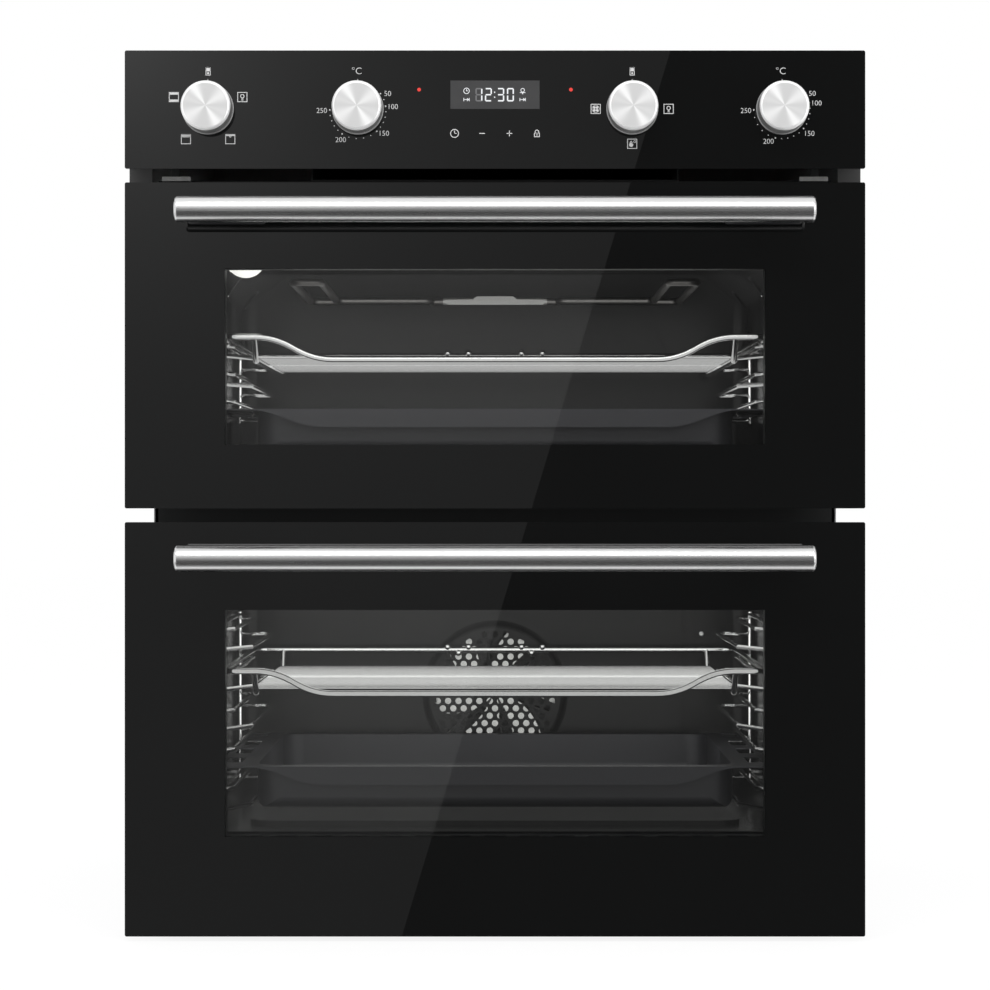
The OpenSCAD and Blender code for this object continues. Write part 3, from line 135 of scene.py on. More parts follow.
class ShaderBench:
    """Builds one node tree."""

    def __init__(self, tree: bpy.types.NodeTree) -> None:
        """Empties the tree."""
        self.tree = tree
        tree.nodes.clear()

    def node(
        self, kind: str, settings: dict | None = None, inputs: dict | None = None,
        output: int | str = 0,
    ) -> Value:
        """Adds a node.

        Args:
            kind: the node's type.
            settings: properties that are set first.
            inputs: values or links of its sockets, by name or number.
            output: which of its outputs is wanted.

        Returns:
            That output.
        """
        made = self.tree.nodes.new(kind)
        for name, value in (settings or {}).items():
            setattr(made, name, value)
        for name, value in (inputs or {}).items():
            if isinstance(value, Value):
                self.tree.links.new(value.socket, made.inputs[name])
            else:
                made.inputs[name].default_value = value
        return Value(self, made.outputs[output])

    @cached_property
    def place(self) -> Value:
        """The point on the piece, in metres in the row frame."""
        return self.node("ShaderNodeTexCoord", output="Object")

    def axes(self, vector: Value | None = None) -> tuple[Value, Value, Value]:
        """The x, y and z of a vector, or of the point on the piece."""
        split = self.node("ShaderNodeSeparateXYZ", {}, {0: vector or self.place})
        return tuple(Value(self, socket) for socket in split.socket.node.outputs)

    def polar(self, centre: Point) -> tuple[Value, Value, Value]:
        """The point's depth, and its place round a centre as it is seen from the front.

        Args:
            centre: the centre, of which only x and z count.

        Returns:
            The point's y, its distance from the centre, and its angle in radians.
        """
        x, y, z = self.axes()
        across, up = x - centre[0], z - centre[2]
        return y, (across * across + up * up) ** 0.5, up.math("ARCTAN2", across)

    def stretched(self, scale: Point) -> Value:
        """The point, scaled along each axis."""
        settings = {"vector_type": "POINT"}
        return self.node("ShaderNodeMapping", settings, {"Vector": self.place, "Scale": scale})

    def noise(self, scale: float, detail: float = 3.0, vector: Value | None = None) -> Value:
        """Fractal noise about 0.5, with scale in features a metre."""
        inputs = {"Vector": vector or self.place, "Scale": scale, "Detail": detail}
        return self.node("ShaderNodeTexNoise", {}, inputs)

    def cells(self, scale: float) -> Value:
        """Flat cells, each at its own level, with scale in cells a metre."""
        inputs = {"Vector": self.place, "Scale": scale}
        return self.axes(self.node("ShaderNodeTexVoronoi", {}, inputs, "Color"))[0]

    def mix(self, factor: Term, first: Colour | Value, second: Colour | Value) -> Value:
        """Blends two colours.

        Args:
            factor: 0 for the first colour and 1 for the second.
            first: the first colour.
            second: the second colour.

        Returns:
            The blend.
        """
        ends = [end if isinstance(end, Value) else (*end, 1.0) for end in (first, second)]
        settings = {"data_type": "RGBA", "clamp_factor": True}
        return self.node("ShaderNodeMix", settings, {0: factor, 6: ends[0], 7: ends[1]}, 2)

    def graded(self, factor: Value, colour: Colour, share: float) -> Value:
        """A colour that falls to a share of itself where the factor is 0."""
        return self.mix(factor, tuple(channel * share for channel in colour), colour)

    def bump(self, height: Value, depth: float, strength: float) -> Value:
        """A surface normal from a height of 0 to 1 over depth metres."""
        inputs = {"Strength": strength, "Distance": depth, "Height": height}
        return self.node("ShaderNodeBump", {}, inputs)

    def surface(self, **inputs: "Value | float | Colour") -> Value:
        """Adds a Principled surface.

        Args:
            inputs: values or links of its sockets, whose names have underscores for spaces.

        Returns:
            The shader.
        """
        named = {name.replace("_", " "): value for name, value in inputs.items()}
        for name in ("Base Color", "Emission Color"):
            if isinstance(named.get(name), tuple):
                named[name] = (*named[name], 1.0)
        if "Specular" in named:
            named["Specular IOR Level"] = named.pop("Specular")
        return self.node("ShaderNodeBsdfPrincipled", {}, named)

    def glow(self, strength: Term) -> Value:
        """A plain white glow."""
        return self.node("ShaderNodeEmission", {}, {"Color": WHITE, "Strength": strength})

    def finish(self, shader: Value, kind: str = "ShaderNodeOutputMaterial") -> None:
        """Joins the shader to the tree's output."""
        output = self.tree.nodes.new(kind)
        self.tree.links.new(shader.socket, output.inputs["Surface"])


# Finishes -----------------------------------------------------------------------------------

@dataclass(frozen=True)
class Finish:
    """A surface finish that becomes one material."""

    name: str

    def shade(self, bench: ShaderBench) -> Value:
        """Builds the finish's shader.

        Args:
            bench: the material's bench.

        Returns:
            The shader.
        """
        raise NotImplementedError

    def material(self) -> bpy.types.Material:
        """Makes the material on first use.

        Returns:
            The finish's material.
        """
        made = bpy.data.materials.get(self.name)
        if made is None:
            made = bpy.data.materials.new(self.name)
            made.use_nodes = True
            bench = ShaderBench(made.node_tree)
            bench.finish(self.shade(bench))
        return made


@dataclass(frozen=True)
class Glass(Finish):
    """Toughened glass, printed black on its back but for a clear window."""

    window: tuple[float, float, float, float] | None = None
    printed: bool = True
    tint: Colour = (0.95, 0.952, 0.948)
    ior: float = 1.31

    def clear(self, bench: ShaderBench) -> Value:
        """Builds the unprinted glass, whose reflection grows towards grazing.

        Args:
            bench: the material's bench.

        Returns:
            The shader.
        """
        through = bench.node("ShaderNodeBsdfTransparent", {}, {"Color": (*self.tint, 1.0)})
        shine = bench.node("ShaderNodeBsdfGlossy", {}, {"Color": WHITE, "Roughness": 0.0})
        edge = bench.node("ShaderNodeFresnel", {}, {"IOR": self.ior})
        return bench.node("ShaderNodeMixShader", {}, {0: edge, 1: through, 2: shine})

    def shade(self, bench: ShaderBench) -> Value:
        """Builds the print where it is, and clear glass in the window.

        Args:
            bench: the material's bench.

        Returns:
            The shader.
        """
        if not self.printed:
            return self.clear(bench)
        smear = bench.noise(9.0, 4.0)
        ink = bench.surface(
            Base_Color=bench.mix(smear, (0.0012, 0.0013, 0.0013), (0.0022, 0.0024, 0.0024)),
            Roughness=smear * 0.004 + 0.002,
            Specular=0.5,
        )
        if self.window is None:
            return ink
        left, bottom, right, top = self.window
        x, _, z = bench.axes()
        inside = (abs(x - (left + right) / 2) < (right - left) / 2) * (
            abs(z - (bottom + top) / 2) < (top - bottom) / 2
        )
        return bench.node("ShaderNodeMixShader", {}, {0: inside, 1: ink, 2: self.clear(bench)})


@dataclass(frozen=True)
class SheetMetal(Finish):
    """Zinc-coated sheet steel with faint spangles."""

    colour: Colour
    roughness: float = 0.38
    spangle: float = 90.0
    darkest: float = 0.8

    def relief(self, bench: ShaderBench) -> Value:
        """The slight waviness of rolled sheet."""
        return bench.bump(bench.noise(26.0, 2.0), 0.6 * MM, 0.25)

    def shade(self, bench: ShaderBench) -> Value:
        """Builds sheet with spangles and haze in the colour and the gloss.

        Args:
            bench: the material's bench.

        Returns:
            The shader.
        """
        spangle = bench.cells(self.spangle)
        haze = bench.noise(7.0, 5.0)
        return bench.surface(
            Base_Color=bench.graded(spangle * 0.6 + haze * 0.4, self.colour, self.darkest),
            Metallic=0.9,
            Roughness=spangle * 0.14 + haze * 0.1 + (self.roughness - 0.1),
            Normal=self.relief(bench),
        )


@dataclass(frozen=True)
class FlangedSheet(SheetMetal):
    """Zinc-coated sheet whose front flange carries near-black painted shade."""

    flange_y: float = 0.0
    # painted shade: the flange lies in shadow in the gap under the panel, and this near-black
    # colour stands in for it
    paint: Colour = (0.05, 0.05, 0.05)

    def shade(self, bench: ShaderBench) -> Value:
        """Builds plain sheet with a duller flange in painted shade.

        Args:
            bench: the material's bench.

        Returns:
            The shader.
        """
        _, y, _ = bench.axes()
        # painted shade: the front flange is near black and less metallic
        painted = y < self.flange_y
        spangle = bench.cells(self.spangle)
        zinc = bench.graded(spangle, self.colour, self.darkest)
        return bench.surface(
            Base_Color=bench.mix(painted, zinc, self.paint),
            Metallic=(1 - painted) * 0.9,
            Roughness=spangle * 0.14 + painted * 0.1 + (self.roughness - 0.05),
            Normal=self.relief(bench),
        )


@dataclass(frozen=True)
class Wheel(Finish):
    """The hot air fan's wheel: six bright curved vanes before a back and gaps in painted shade.

    The vanes' figures are in degrees, and the sweep and taper in degrees for each mm outwards.
    """

    hub: Point
    front_y: float
    half_pitch: float = 30.0
    half_width: float = 24.7
    sweep: float = 0.45
    taper: float = 0.16

    def shade(self, bench: ShaderBench) -> Value:
        """Builds bright metal on the vanes' fronts, and painted shade in the gaps and on
        everything further back.

        Args:
            bench: the material's bench.

        Returns:
            The shader.
        """
        y, distance, turn = bench.polar(self.hub)
        radius, angle = distance * (1 / MM), turn * math.degrees(1.0)
        swept = angle + radius * self.sweep - self.half_pitch
        off_vane = swept.math("PINGPONG", self.half_pitch)
        between = off_vane > radius * -self.taper + self.half_width
        # painted shade: the gaps between the vanes and all but the vanes' fronts are coloured near
        # black
        painted_shade = between.math("MAXIMUM", y > self.front_y)
        marks = bench.noise(160.0, 3.0)
        bright = bench.mix(marks, (0.66, 0.66, 0.65), (0.86, 0.86, 0.85))
        return bench.surface(
            Base_Color=bench.mix(painted_shade, bright, (0.012, 0.012, 0.012)),
            Metallic=(1 - painted_shade) * 0.5,
            Roughness=marks * 0.12 + 0.4,
        )


@dataclass(frozen=True)
class DippedSheet(Finish):
    """Sheet steel in near-black painted shade above a height, with bare zinc tabs below it."""

    line_z: float
    # painted shade: near black, for the shadow in the gap under the control panel
    paint: Colour = (0.006, 0.007, 0.007)

    def shade(self, bench: ShaderBench) -> Value:
        """Builds bare, slightly streaked metal under the edge of the painted shade.

        Args:
            bench: the material's bench.

        Returns:
            The shader.
        """
        _, _, z = bench.axes()
        # painted shade: above line_z the bracket is near black, standing in for the shadow in the
        # gap
        bare = z < self.line_z
        streaks = bench.noise(1.0, 3.0, bench.stretched((160.0, 160.0, 6.0)))
        zinc = bench.mix(streaks, (0.16, 0.16, 0.16), (0.42, 0.42, 0.41))
        return bench.surface(
            Base_Color=bench.mix(bare, self.paint, zinc),
            Metallic=bare * 0.6,
            Roughness=streaks * 0.1 + 0.4,
        )


@dataclass(frozen=True)
class Enamel(Finish):
    """Vitreous enamel, glossy over a faint orange-peel."""

    colour: Colour
    fleck: float = 0.0
    roughness: float = 0.16
    shine: float = 0.5

    def shade(self, bench: ShaderBench) -> Value:
        """Builds tiny pale flecks in the colour and a soft ripple in the gloss.

        Args:
            bench: the material's bench.

        Returns:
            The shader.
        """
        flecks = bench.noise(2600.0, 1.0).ramp(0.66, 0.74)
        cloud = bench.noise(14.0, 3.0)
        pale = tuple(channel + self.fleck for channel in self.colour)
        return bench.surface(
            Base_Color=bench.mix(flecks, bench.graded(cloud, self.colour, 0.82), pale),
            Roughness=cloud * 0.1 + self.roughness,
            Specular=self.shine,
            Normal=bench.bump(bench.noise(420.0, 1.0), 0.12 * MM, 0.35),
        )


@dataclass(frozen=True)
class BrightWire(Finish):
    """Chromed wire, a little dulled by heat."""

    colour: Colour = (0.82, 0.82, 0.81)
    heated: Colour = (0.86, 0.84, 0.8)

    def shade(self, bench: ShaderBench) -> Value:
        """Builds faint heat haze in the colour, and drawing marks in the gloss.

        Args:
            bench: the material's bench.

        Returns:
            The shader.
        """
        haze = bench.noise(24.0, 4.0)
        warm = tuple(channel * share for channel, share in zip(self.colour, self.heated))
        return bench.surface(
            Base_Color=bench.mix(haze, self.colour, warm),
            Metallic=0.45,
            Roughness=haze * 0.16 + 0.26,
            Normal=bench.bump(bench.noise(900.0, 2.0), 0.05 * MM, 0.3),
        )


class Grain(Enum):
    """The way that a metal's marks run."""

    ALONG_X = (4.0, 900.0, 900.0)
    PLAIN = (160.0, 160.0, 160.0)


@dataclass(frozen=True)
class BrushedMetal(Finish):
    """Metal with fine marks along one way."""

    colour: Colour
    grain: Grain = Grain.PLAIN
    roughness: float = 0.3
    relief: float = 0.25

    def marks(self, bench: ShaderBench) -> Value:
        """The marks, as a level from 0 to 1."""
        return bench.noise(1.0, 3.0, bench.stretched(self.grain.value))

    def marked(self, bench: ShaderBench, marks: Value, colour: Value, metal: Term) -> Value:
        """Builds a surface with the marks in its gloss and its relief.

        Args:
            bench: the material's bench.
            marks: the marks.
            colour: its colour.
            metal: how far it is bare metal.

        Returns:
            The shader.
        """
        return bench.surface(
            Base_Color=colour,
            Metallic=metal,
            Roughness=marks * 0.12 + (self.roughness - 0.06),
            Normal=bench.bump(marks, 0.04 * MM, self.relief),
        )

    def shade(self, bench: ShaderBench) -> Value:
        """The metal, with the marks in its colour too."""
        marks = self.marks(bench)
        return self.marked(bench, marks, bench.graded(marks, self.colour, 0.85), 1.0)


@dataclass(frozen=True)
class ClippedTube(BrushedMetal):
    """A grill element's dark sheath, held by a bright steel clip in its middle."""

    clip_half: float = 48.8 * MM
    clip_colour: Colour = (0.42, 0.42, 0.41)

    def shade(self, bench: ShaderBench) -> Value:
        """Builds bright steel over the clip's width, and scorched metal beside it.

        Args:
            bench: the material's bench.

        Returns:
            The shader.
        """
        x, _, _ = bench.axes()
        clip = abs(x) < self.clip_half
        colour = bench.mix(clip, self.colour, self.clip_colour)
        return self.marked(bench, self.marks(bench), colour, 1 - clip * 0.5)


@dataclass(frozen=True)
class SpunMetal(Finish):
    """A turned aluminium knob: a spun face with painted highlights inside a bright chamfer, and a
    smooth side.

    Each painted highlight has its middle in degrees, its sharpness and its weight.
    """

    centre: Point
    face_r: float
    front: float
    colour: Colour = (0.84, 0.84, 0.84)
    chamfer: float = 2.4 * MM
    ring_pitch: float = 0.34 * MM
    wedges: tuple[Point, ...] = ((-57.0, 7.0, 0.75), (-148.0, 3.0, 0.5), (-20.0, 9.0, 0.2))

    @staticmethod
    def wedge(angle: Value, middle_angle: float, sharpness: float, weight: float) -> Value:
        """Two opposite fans of painted highlight, the first about its middle angle."""
        round_middle = (angle * 2.0 - math.radians(2 * middle_angle)).math("COSINE")
        return round_middle.math("MAXIMUM", 0.0) ** sharpness * weight

    def shade(self, bench: ShaderBench) -> Value:
        """Builds turning rings in the relief, and fan-shaped painted highlights in the colour, on
        the face alone.

        Args:
            bench: the material's bench.

        Returns:
            The shader.
        """
        y, radius, angle = bench.polar(self.centre)
        on_face = (radius < self.face_r) * (y < self.front + 0.4 * MM)
        rim = y < self.front + self.chamfer
        # painted highlight: bright fans in the face's colour stand in for the light that the
        # turning rings would catch
        painted_highlight = (sum(self.wedge(angle, *wedge) for wedge in self.wedges) + 0.3).clamp()
        side = bench.mix(rim, (0.4, 0.4, 0.4), (0.95, 0.95, 0.95))
        return bench.surface(
            Base_Color=bench.mix(on_face, side, bench.graded(painted_highlight, self.colour, 0.55)),
            Metallic=on_face * -0.25 + rim * -0.1 + 0.6,
            Roughness=on_face * 0.02 + 0.38,
            Normal=bench.bump(radius.waves(self.ring_pitch) * on_face, 0.03 * MM, 0.4),
        )


@dataclass(frozen=True)
class Moulding(Finish):
    """Moulded plastic or rubber with a fine grain."""

    colour: Colour
    roughness: float = 0.45
    grain: float = 700.0

    def shade(self, bench: ShaderBench) -> Value:
        """Builds fine grain in the relief, and faint handling marks in the gloss.

        Args:
            bench: the material's bench.

        Returns:
            The shader.
        """
        marks = bench.noise(60.0, 4.0)
        pale = tuple(min(1.0, channel * 1.15 + 0.004) for channel in self.colour)
        return bench.surface(
            Base_Color=bench.mix(marks, self.colour, pale),
            Roughness=marks * 0.14 + (self.roughness - 0.07),
            Normal=bench.bump(bench.noise(self.grain, 2.0), 0.08 * MM, 0.4),
        )


@dataclass(frozen=True)
class Wool(Finish):
    """Mineral wool in a blanket."""

    colour: Colour = (0.74, 0.7, 0.58)

    def shade(self, bench: ShaderBench) -> Value:
        """Builds matted fibres.

        Args:
            bench: the material's bench.

        Returns:
            The shader.
        """
        tufts = bench.noise(120.0, 8.0)
        fibres = bench.noise(1.0, 6.0, bench.stretched((900.0, 260.0, 900.0)))
        return bench.surface(
            Base_Color=bench.graded(tufts * 0.6 + fibres * 0.4, self.colour, 0.55),
            Roughness=0.95,
            Normal=bench.bump(tufts + fibres * 0.5, 2.0 * MM, 0.8),
        )


@dataclass(frozen=True)
class Lit(Finish):
    """Something that glows by itself, such as a display's digits; on the display's unlit segments
    the glow is painted light.
    """

    colour: Colour
    strength: float = 1.0

    def shade(self, bench: ShaderBench) -> Value:
        """Builds an even glow with a slightly softer ground.

        Args:
            bench: the material's bench.

        Returns:
            The shader.
        """
        grain = bench.noise(500.0, 1.0)
        return bench.surface(
            Base_Color=(0.02, 0.02, 0.02),
            Roughness=0.4,
            Emission_Color=bench.graded(grain, self.colour, 0.92),
            Emission_Strength=self.strength,
        )


@dataclass(frozen=True)
class Lens(Finish):
    """The frosted glass dome of the oven lamp, lit from inside."""

    glow: float = 1.1
    rib_pitch: float = 4.0 * MM

    def shade(self, bench: ShaderBench) -> Value:
        """Builds pressed ribs in pale glass that glows.

        Args:
            bench: the material's bench.

        Returns:
            The shader.
        """
        x, _, z = bench.axes()
        glow = bench.mix(bench.noise(120.0, 2.0), (0.8, 0.8, 0.76), (1.0, 1.0, 0.97))
        return bench.surface(
            Base_Color=(0.85, 0.85, 0.83),
            Roughness=0.2,
            Emission_Color=glow,
            Emission_Strength=self.glow,
            Normal=bench.bump((x + z).waves(self.rib_pitch), 0.3 * MM, 0.4),
        )


@dataclass(frozen=True)
class PaleFloor(Finish):
    """The studio's floor, brought up to white by a glow that leaves a faint shadow."""

    glow: float = 1.06
    share: float = 0.82

    def shade(self, bench: ShaderBench) -> Value:
        """Builds a matt floor under the glow.

        Args:
            bench: the material's bench.

        Returns:
            The shader.
        """
        paint = bench.mix(bench.noise(4.0, 3.0), (0.9, 0.9, 0.9), (0.93, 0.93, 0.93))
        matt = bench.surface(Base_Color=paint, Roughness=0.8)
        inputs = {0: self.share, 1: matt, 2: bench.glow(self.glow)}
        return bench.node("ShaderNodeMixShader", {}, inputs)


@dataclass(frozen=True)
class LitWall(Finish):
    """The wall that the glass shows: dim on the right of a slanting edge, and brighter
    towards its upper left corner.
    """

    edge: tuple[float, float] = (0.3807, 1.3233)
    slant: float = 0.3033
    corner: tuple[float, float] = (-0.82, 1.36)
    fall: float = 2.6
    lit: float = 0.17
    dim: float = 0.125

    def shade(self, bench: ShaderBench) -> Value:
        """Builds the wall's glow.

        Args:
            bench: the material's bench.

        Returns:
            The shader.
        """
        x, _, z = bench.axes()
        left = x < (z - self.edge[1]) * self.slant + self.edge[0]
        across, up = x - self.corner[0], z - self.corner[1]
        away = (across * across + up * up) ** 0.5
        near = (away * -self.fall).math("EXPONENT")
        return bench.glow(left * (near + self.lit) + self.dim)


@dataclass(frozen=True)
class DimGround(Finish):
    """The ground that the glass shows, dark in front of the oven and paler at its foot."""

    far: float = -1.0
    near: float = -0.5
    dark: float = 0.08
    rise: float = 0.26

    def shade(self, bench: ShaderBench) -> Value:
        """The ground's glow, by its depth."""
        _, y, _ = bench.axes()
        return bench.glow(y.ramp(self.far, self.near) * self.rise + self.dark)


INK = Moulding("white_print", (0.6, 0.6, 0.6), 0.6)
ZINC = SheetMetal("galvanised_sheet", (0.46, 0.47, 0.48))
# Near-black enamel of the frames; on the cooling fan's housing it is painted shade for the dark
# recess seen through a gap.
BLACK_SHEET_AND_SHADE = Enamel("black_sheet_and_painted_shade", (0.008, 0.009, 0.009), 0.004, 0.4)
LINER = Enamel("cavity_enamel", (0.019, 0.019, 0.0193), 0.04, shine=0.12)
TRAY = Enamel("tray_enamel", (0.006, 0.006, 0.006), 0.015, 0.14, 0.07)
WIRE = BrightWire("bright_wire")
SHEATH = BrushedMetal("element_sheath", (0.16, 0.155, 0.15), Grain.PLAIN, 0.36)
GRILL = ClippedTube("grill_sheath", SHEATH.colour, Grain.PLAIN, 0.36)
BAR = BrushedMetal("satin_tube", (0.78, 0.78, 0.78), Grain.ALONG_X, 0.26, 0.03)
STEEL = BrushedMetal("plain_steel", (0.58, 0.58, 0.58), Grain.PLAIN, 0.34)
BLACK = Moulding("black_moulding", (0.012, 0.012, 0.013), 0.4)
CREAM = Moulding("cream_moulding", (0.62, 0.6, 0.54), 0.5)
SEAL = Moulding("woven_seal", (0.02, 0.02, 0.02), 0.85, 260.0)
CELL = Moulding("display_cell", (0.032, 0.032, 0.033), 0.35, 300.0)
PANE = Glass("clear_pane", printed=False)
WOOL = Wool("mineral_wool")
LAMP_RED = Lit("red_light", (1.0, 0.03, 0.015), 0.9)
DIGITS = Lit("display_digits", (0.95, 0.97, 1.0), 1.0)
# painted glow: the display's unlit segments glow faintly, standing in for light that they reflect
UNLIT_GLOW = Lit("display_unlit", (0.16, 0.16, 0.165), 1.0)
LENS = Lens("lamp_lens")


# Modelling bench ----------------------------------------------------------------------------

class Bench:
    """Models pieces with operators, as by hand, and hands them over finished."""

    @staticmethod
    def pick(*pieces: bpy.types.Object) -> None:
        """Selects only these pieces and makes the first of them active.

        Args:
            pieces: the pieces, or none to leave nothing selected.
        """
        bpy.ops.object.select_all(action="DESELECT")
        for piece in pieces:
            piece.select_set(True)
        if pieces:
            bpy.context.view_layer.objects.active = pieces[0]

    @staticmethod
    def added(operator: Operator, **settings: object) -> bpy.types.Object:
        """Adds a primitive, alone in the selection.

        Args:
            operator: the operator that adds it.
            settings: the operator's settings.

        Returns:
            The new object.
        """
        Bench.pick()
        operator(**settings)
        return bpy.context.view_layer.objects.active

    @staticmethod
    def settle(piece: bpy.types.Object) -> bpy.types.Object:
        """Puts the piece's place, turn and size into its mesh.

        Args:
            piece: the piece, which becomes the active one.

        Returns:
            The piece.
        """
        Bench.pick(piece)
        bpy.ops.object.transform_apply(location=True, rotation=True, scale=True)
        return piece

    @staticmethod
    def modify(piece: bpy.types.Object, kind: str, **settings: object) -> None:
        """Puts a piece through a modifier.

        Args:
            piece: the piece.
            kind: the modifier's type.
            settings: the modifier's settings.
        """
        Bench.pick(piece)
        modifier = piece.modifiers.new(kind, kind)
        for name, value in settings.items():
            setattr(modifier, name, value)
        bpy.ops.object.modifier_apply(modifier=modifier.name)

    @staticmethod
    def joined(name: str, pieces: list[bpy.types.Object]) -> bpy.types.Object:
        """Makes one piece out of many.

        Args:
            name: the new piece's name.
            pieces: what is joined.

        Returns:
            The joined piece, settled at the origin.
        """
        Bench.pick(*pieces)
        if len(pieces) > 1:
            bpy.ops.object.join()
        whole = bpy.context.view_layer.objects.active
        whole.name = whole.data.name = name
        return Bench.settle(whole)

    @staticmethod
    def copied(
        piece: bpy.types.Object, move: Point, turn: Point, size: float = 1.0
    ) -> bpy.types.Object:
        """Copies a piece, with its own mesh.

        Args:
            piece: the piece at the origin.
            move: where the copy goes.
            turn: how it is turned about its origin first.
            size: how many times as large it is.

        Returns:
            The copy, settled.
        """
        copy = piece.copy()
        copy.data = piece.data.copy()
        bpy.context.scene.collection.objects.link(copy)
        copy.location, copy.rotation_euler, copy.scale = move, turn, (size, size, size)
        return Bench.settle(copy)

    @staticmethod
    def smooth(piece: bpy.types.Object, degrees: float = 35.0) -> None:
        """Shades the piece smooth but for its sharp edges."""
        Bench.pick(piece)
        bpy.ops.object.shade_smooth_by_angle(angle=math.radians(degrees))

    @staticmethod
    def hand_over(piece: bpy.types.Object, body: str, finish: Finish, slot: str) -> None:
        """Gives a finished piece its finish and the body that it rides on.

        Args:
            piece: the piece.
            body: the body that it rides on.
            finish: its finish.
            slot: the record's slot for it; not used.
        """
        piece.data.materials.clear()
        piece.data.materials.append(finish.material())
        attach(piece, body)
        LOG.info("%s: %d faces on %s", piece.name, len(piece.data.polygons), body)


@dataclass
class Artwork:
    """Flat printed shapes on a sheet, in mm about its origin, with u to the right and v up."""

    name: str
    origin: tuple[float, float]
    shapes: list[bpy.types.Object] = field(default_factory=list)

    def _new(self, operator: Operator, u: float, v: float, **settings: object) -> bpy.types.Object:
        """Adds a primitive about (u, v)."""
        place = (self.origin[0] + u * MM, self.origin[1] + v * MM, 0.0)
        return Bench.added(operator, location=place, **settings)

    def _keep(self, shape: bpy.types.Object) -> None:
        """Settles a shape and keeps it."""
        self.shapes.append(Bench.settle(shape))

    def _hollow(self, line: float) -> None:
        """Leaves only a line along the last shape's edge.

        Args:
            line: how wide the line is.
        """
        bpy.ops.object.mode_set(mode="EDIT")
        bpy.ops.mesh.select_all(action="SELECT")
        bpy.ops.mesh.inset(thickness=line * MM)
        bpy.ops.mesh.delete(type="FACE")
        bpy.ops.object.mode_set(mode="OBJECT")

    def bar(self, u: float, v: float, width: float, height: float, turn: float = 0.0) -> None:
        """Draws a filled bar.

        Args:
            u: how far right its middle is.
            v: how far up its middle is.
            width: its size along u, before it is turned.
            height: its size along v, before it is turned.
            turn: how far it is turned anticlockwise, in radians.
        """
        plane = bpy.ops.mesh.primitive_plane_add
        shape = self._new(plane, u, v, size=1.0, rotation=(0.0, 0.0, turn))
        shape.scale = (width * MM, height * MM, 1.0)
        self._keep(shape)

    def dot(self, u: float, v: float, radius: float, sides: int = 20) -> None:
        """Draws a filled disc."""
        disc = {"vertices": sides, "radius": radius * MM, "fill_type": "NGON"}
        self._keep(self._new(bpy.ops.mesh.primitive_circle_add, u, v, **disc))

    def ring(self, u: float, v: float, radius: float, line: float) -> None:
        """Draws a circle's outline."""
        self.dot(u, v, radius, 32)
        self._hollow(line)

    def box(self, u: float, v: float, width: float, height: float, line: float) -> None:
        """Draws a rectangle's outline."""
        self.bar(u, v, width, height)
        self._hollow(line)

    def stroke(self, points: list[tuple[float, float]], line: float) -> None:
        """Draws a run of straight lines.

        Args:
            points: the points that it goes through.
            line: how wide it is.
        """
        for (u0, v0), (u1, v1) in zip(points, points[1:]):
            length = math.hypot(u1 - u0, v1 - v0) + line * 0.6
            turn = math.atan2(v1 - v0, u1 - u0)
            self.bar((u0 + u1) / 2, (v0 + v1) / 2, length, line, turn)

    def words(self, u: float, v: float, body: str, size: float, weight: float) -> None:
        """Writes plain numbers or a unit.

        Args:
            u: how far right their middle is.
            v: how far up their middle is.
            body: what they say.
            size: the size of the type.
            weight: what is added to the strokes' edges.
        """
        text = self._new(bpy.ops.object.text_add, u, v)
        text.data.body = body
        text.data.size = size * MM
        text.data.offset = weight * MM
        text.data.align_x = text.data.align_y = "CENTER"
        text.data.resolution_u = 4
        bpy.ops.object.convert(target="MESH")
        self._keep(bpy.context.view_layer.objects.active)

    def printed(self, front: float, thickness: float, finish: Finish, slot: str) -> None:
        """Stands the sheet up facing the user and gives it the thickness of a print.

        Args:
            front: the depth of the surface that it is printed on, in metres.
            thickness: how far the print stands out, in metres.
            finish: its finish.
            slot: the record's slot for it.
        """
        sheet = Bench.joined(self.name, self.shapes)
        sheet.rotation_euler = (math.pi / 2, 0.0, 0.0)
        sheet.location = (0.0, front - thickness * 0.2, 0.0)
        Bench.settle(sheet)
        Bench.modify(sheet, "SOLIDIFY", thickness=thickness, offset=1.0)
        Bench.hand_over(sheet, "casing", finish, slot)


# Control panel ------------------------------------------------------------------------------

class Icon(Enum):
    """What a function switch can be turned to."""

    OFF = "off"
    LAMP = "lamp"
    HALF_GRILL = "half grill"
    FULL_GRILL = "full grill"
    BOTH_HEATS = "top and bottom heat"
    DEFROST = "defrost"
    FAN = "fan"


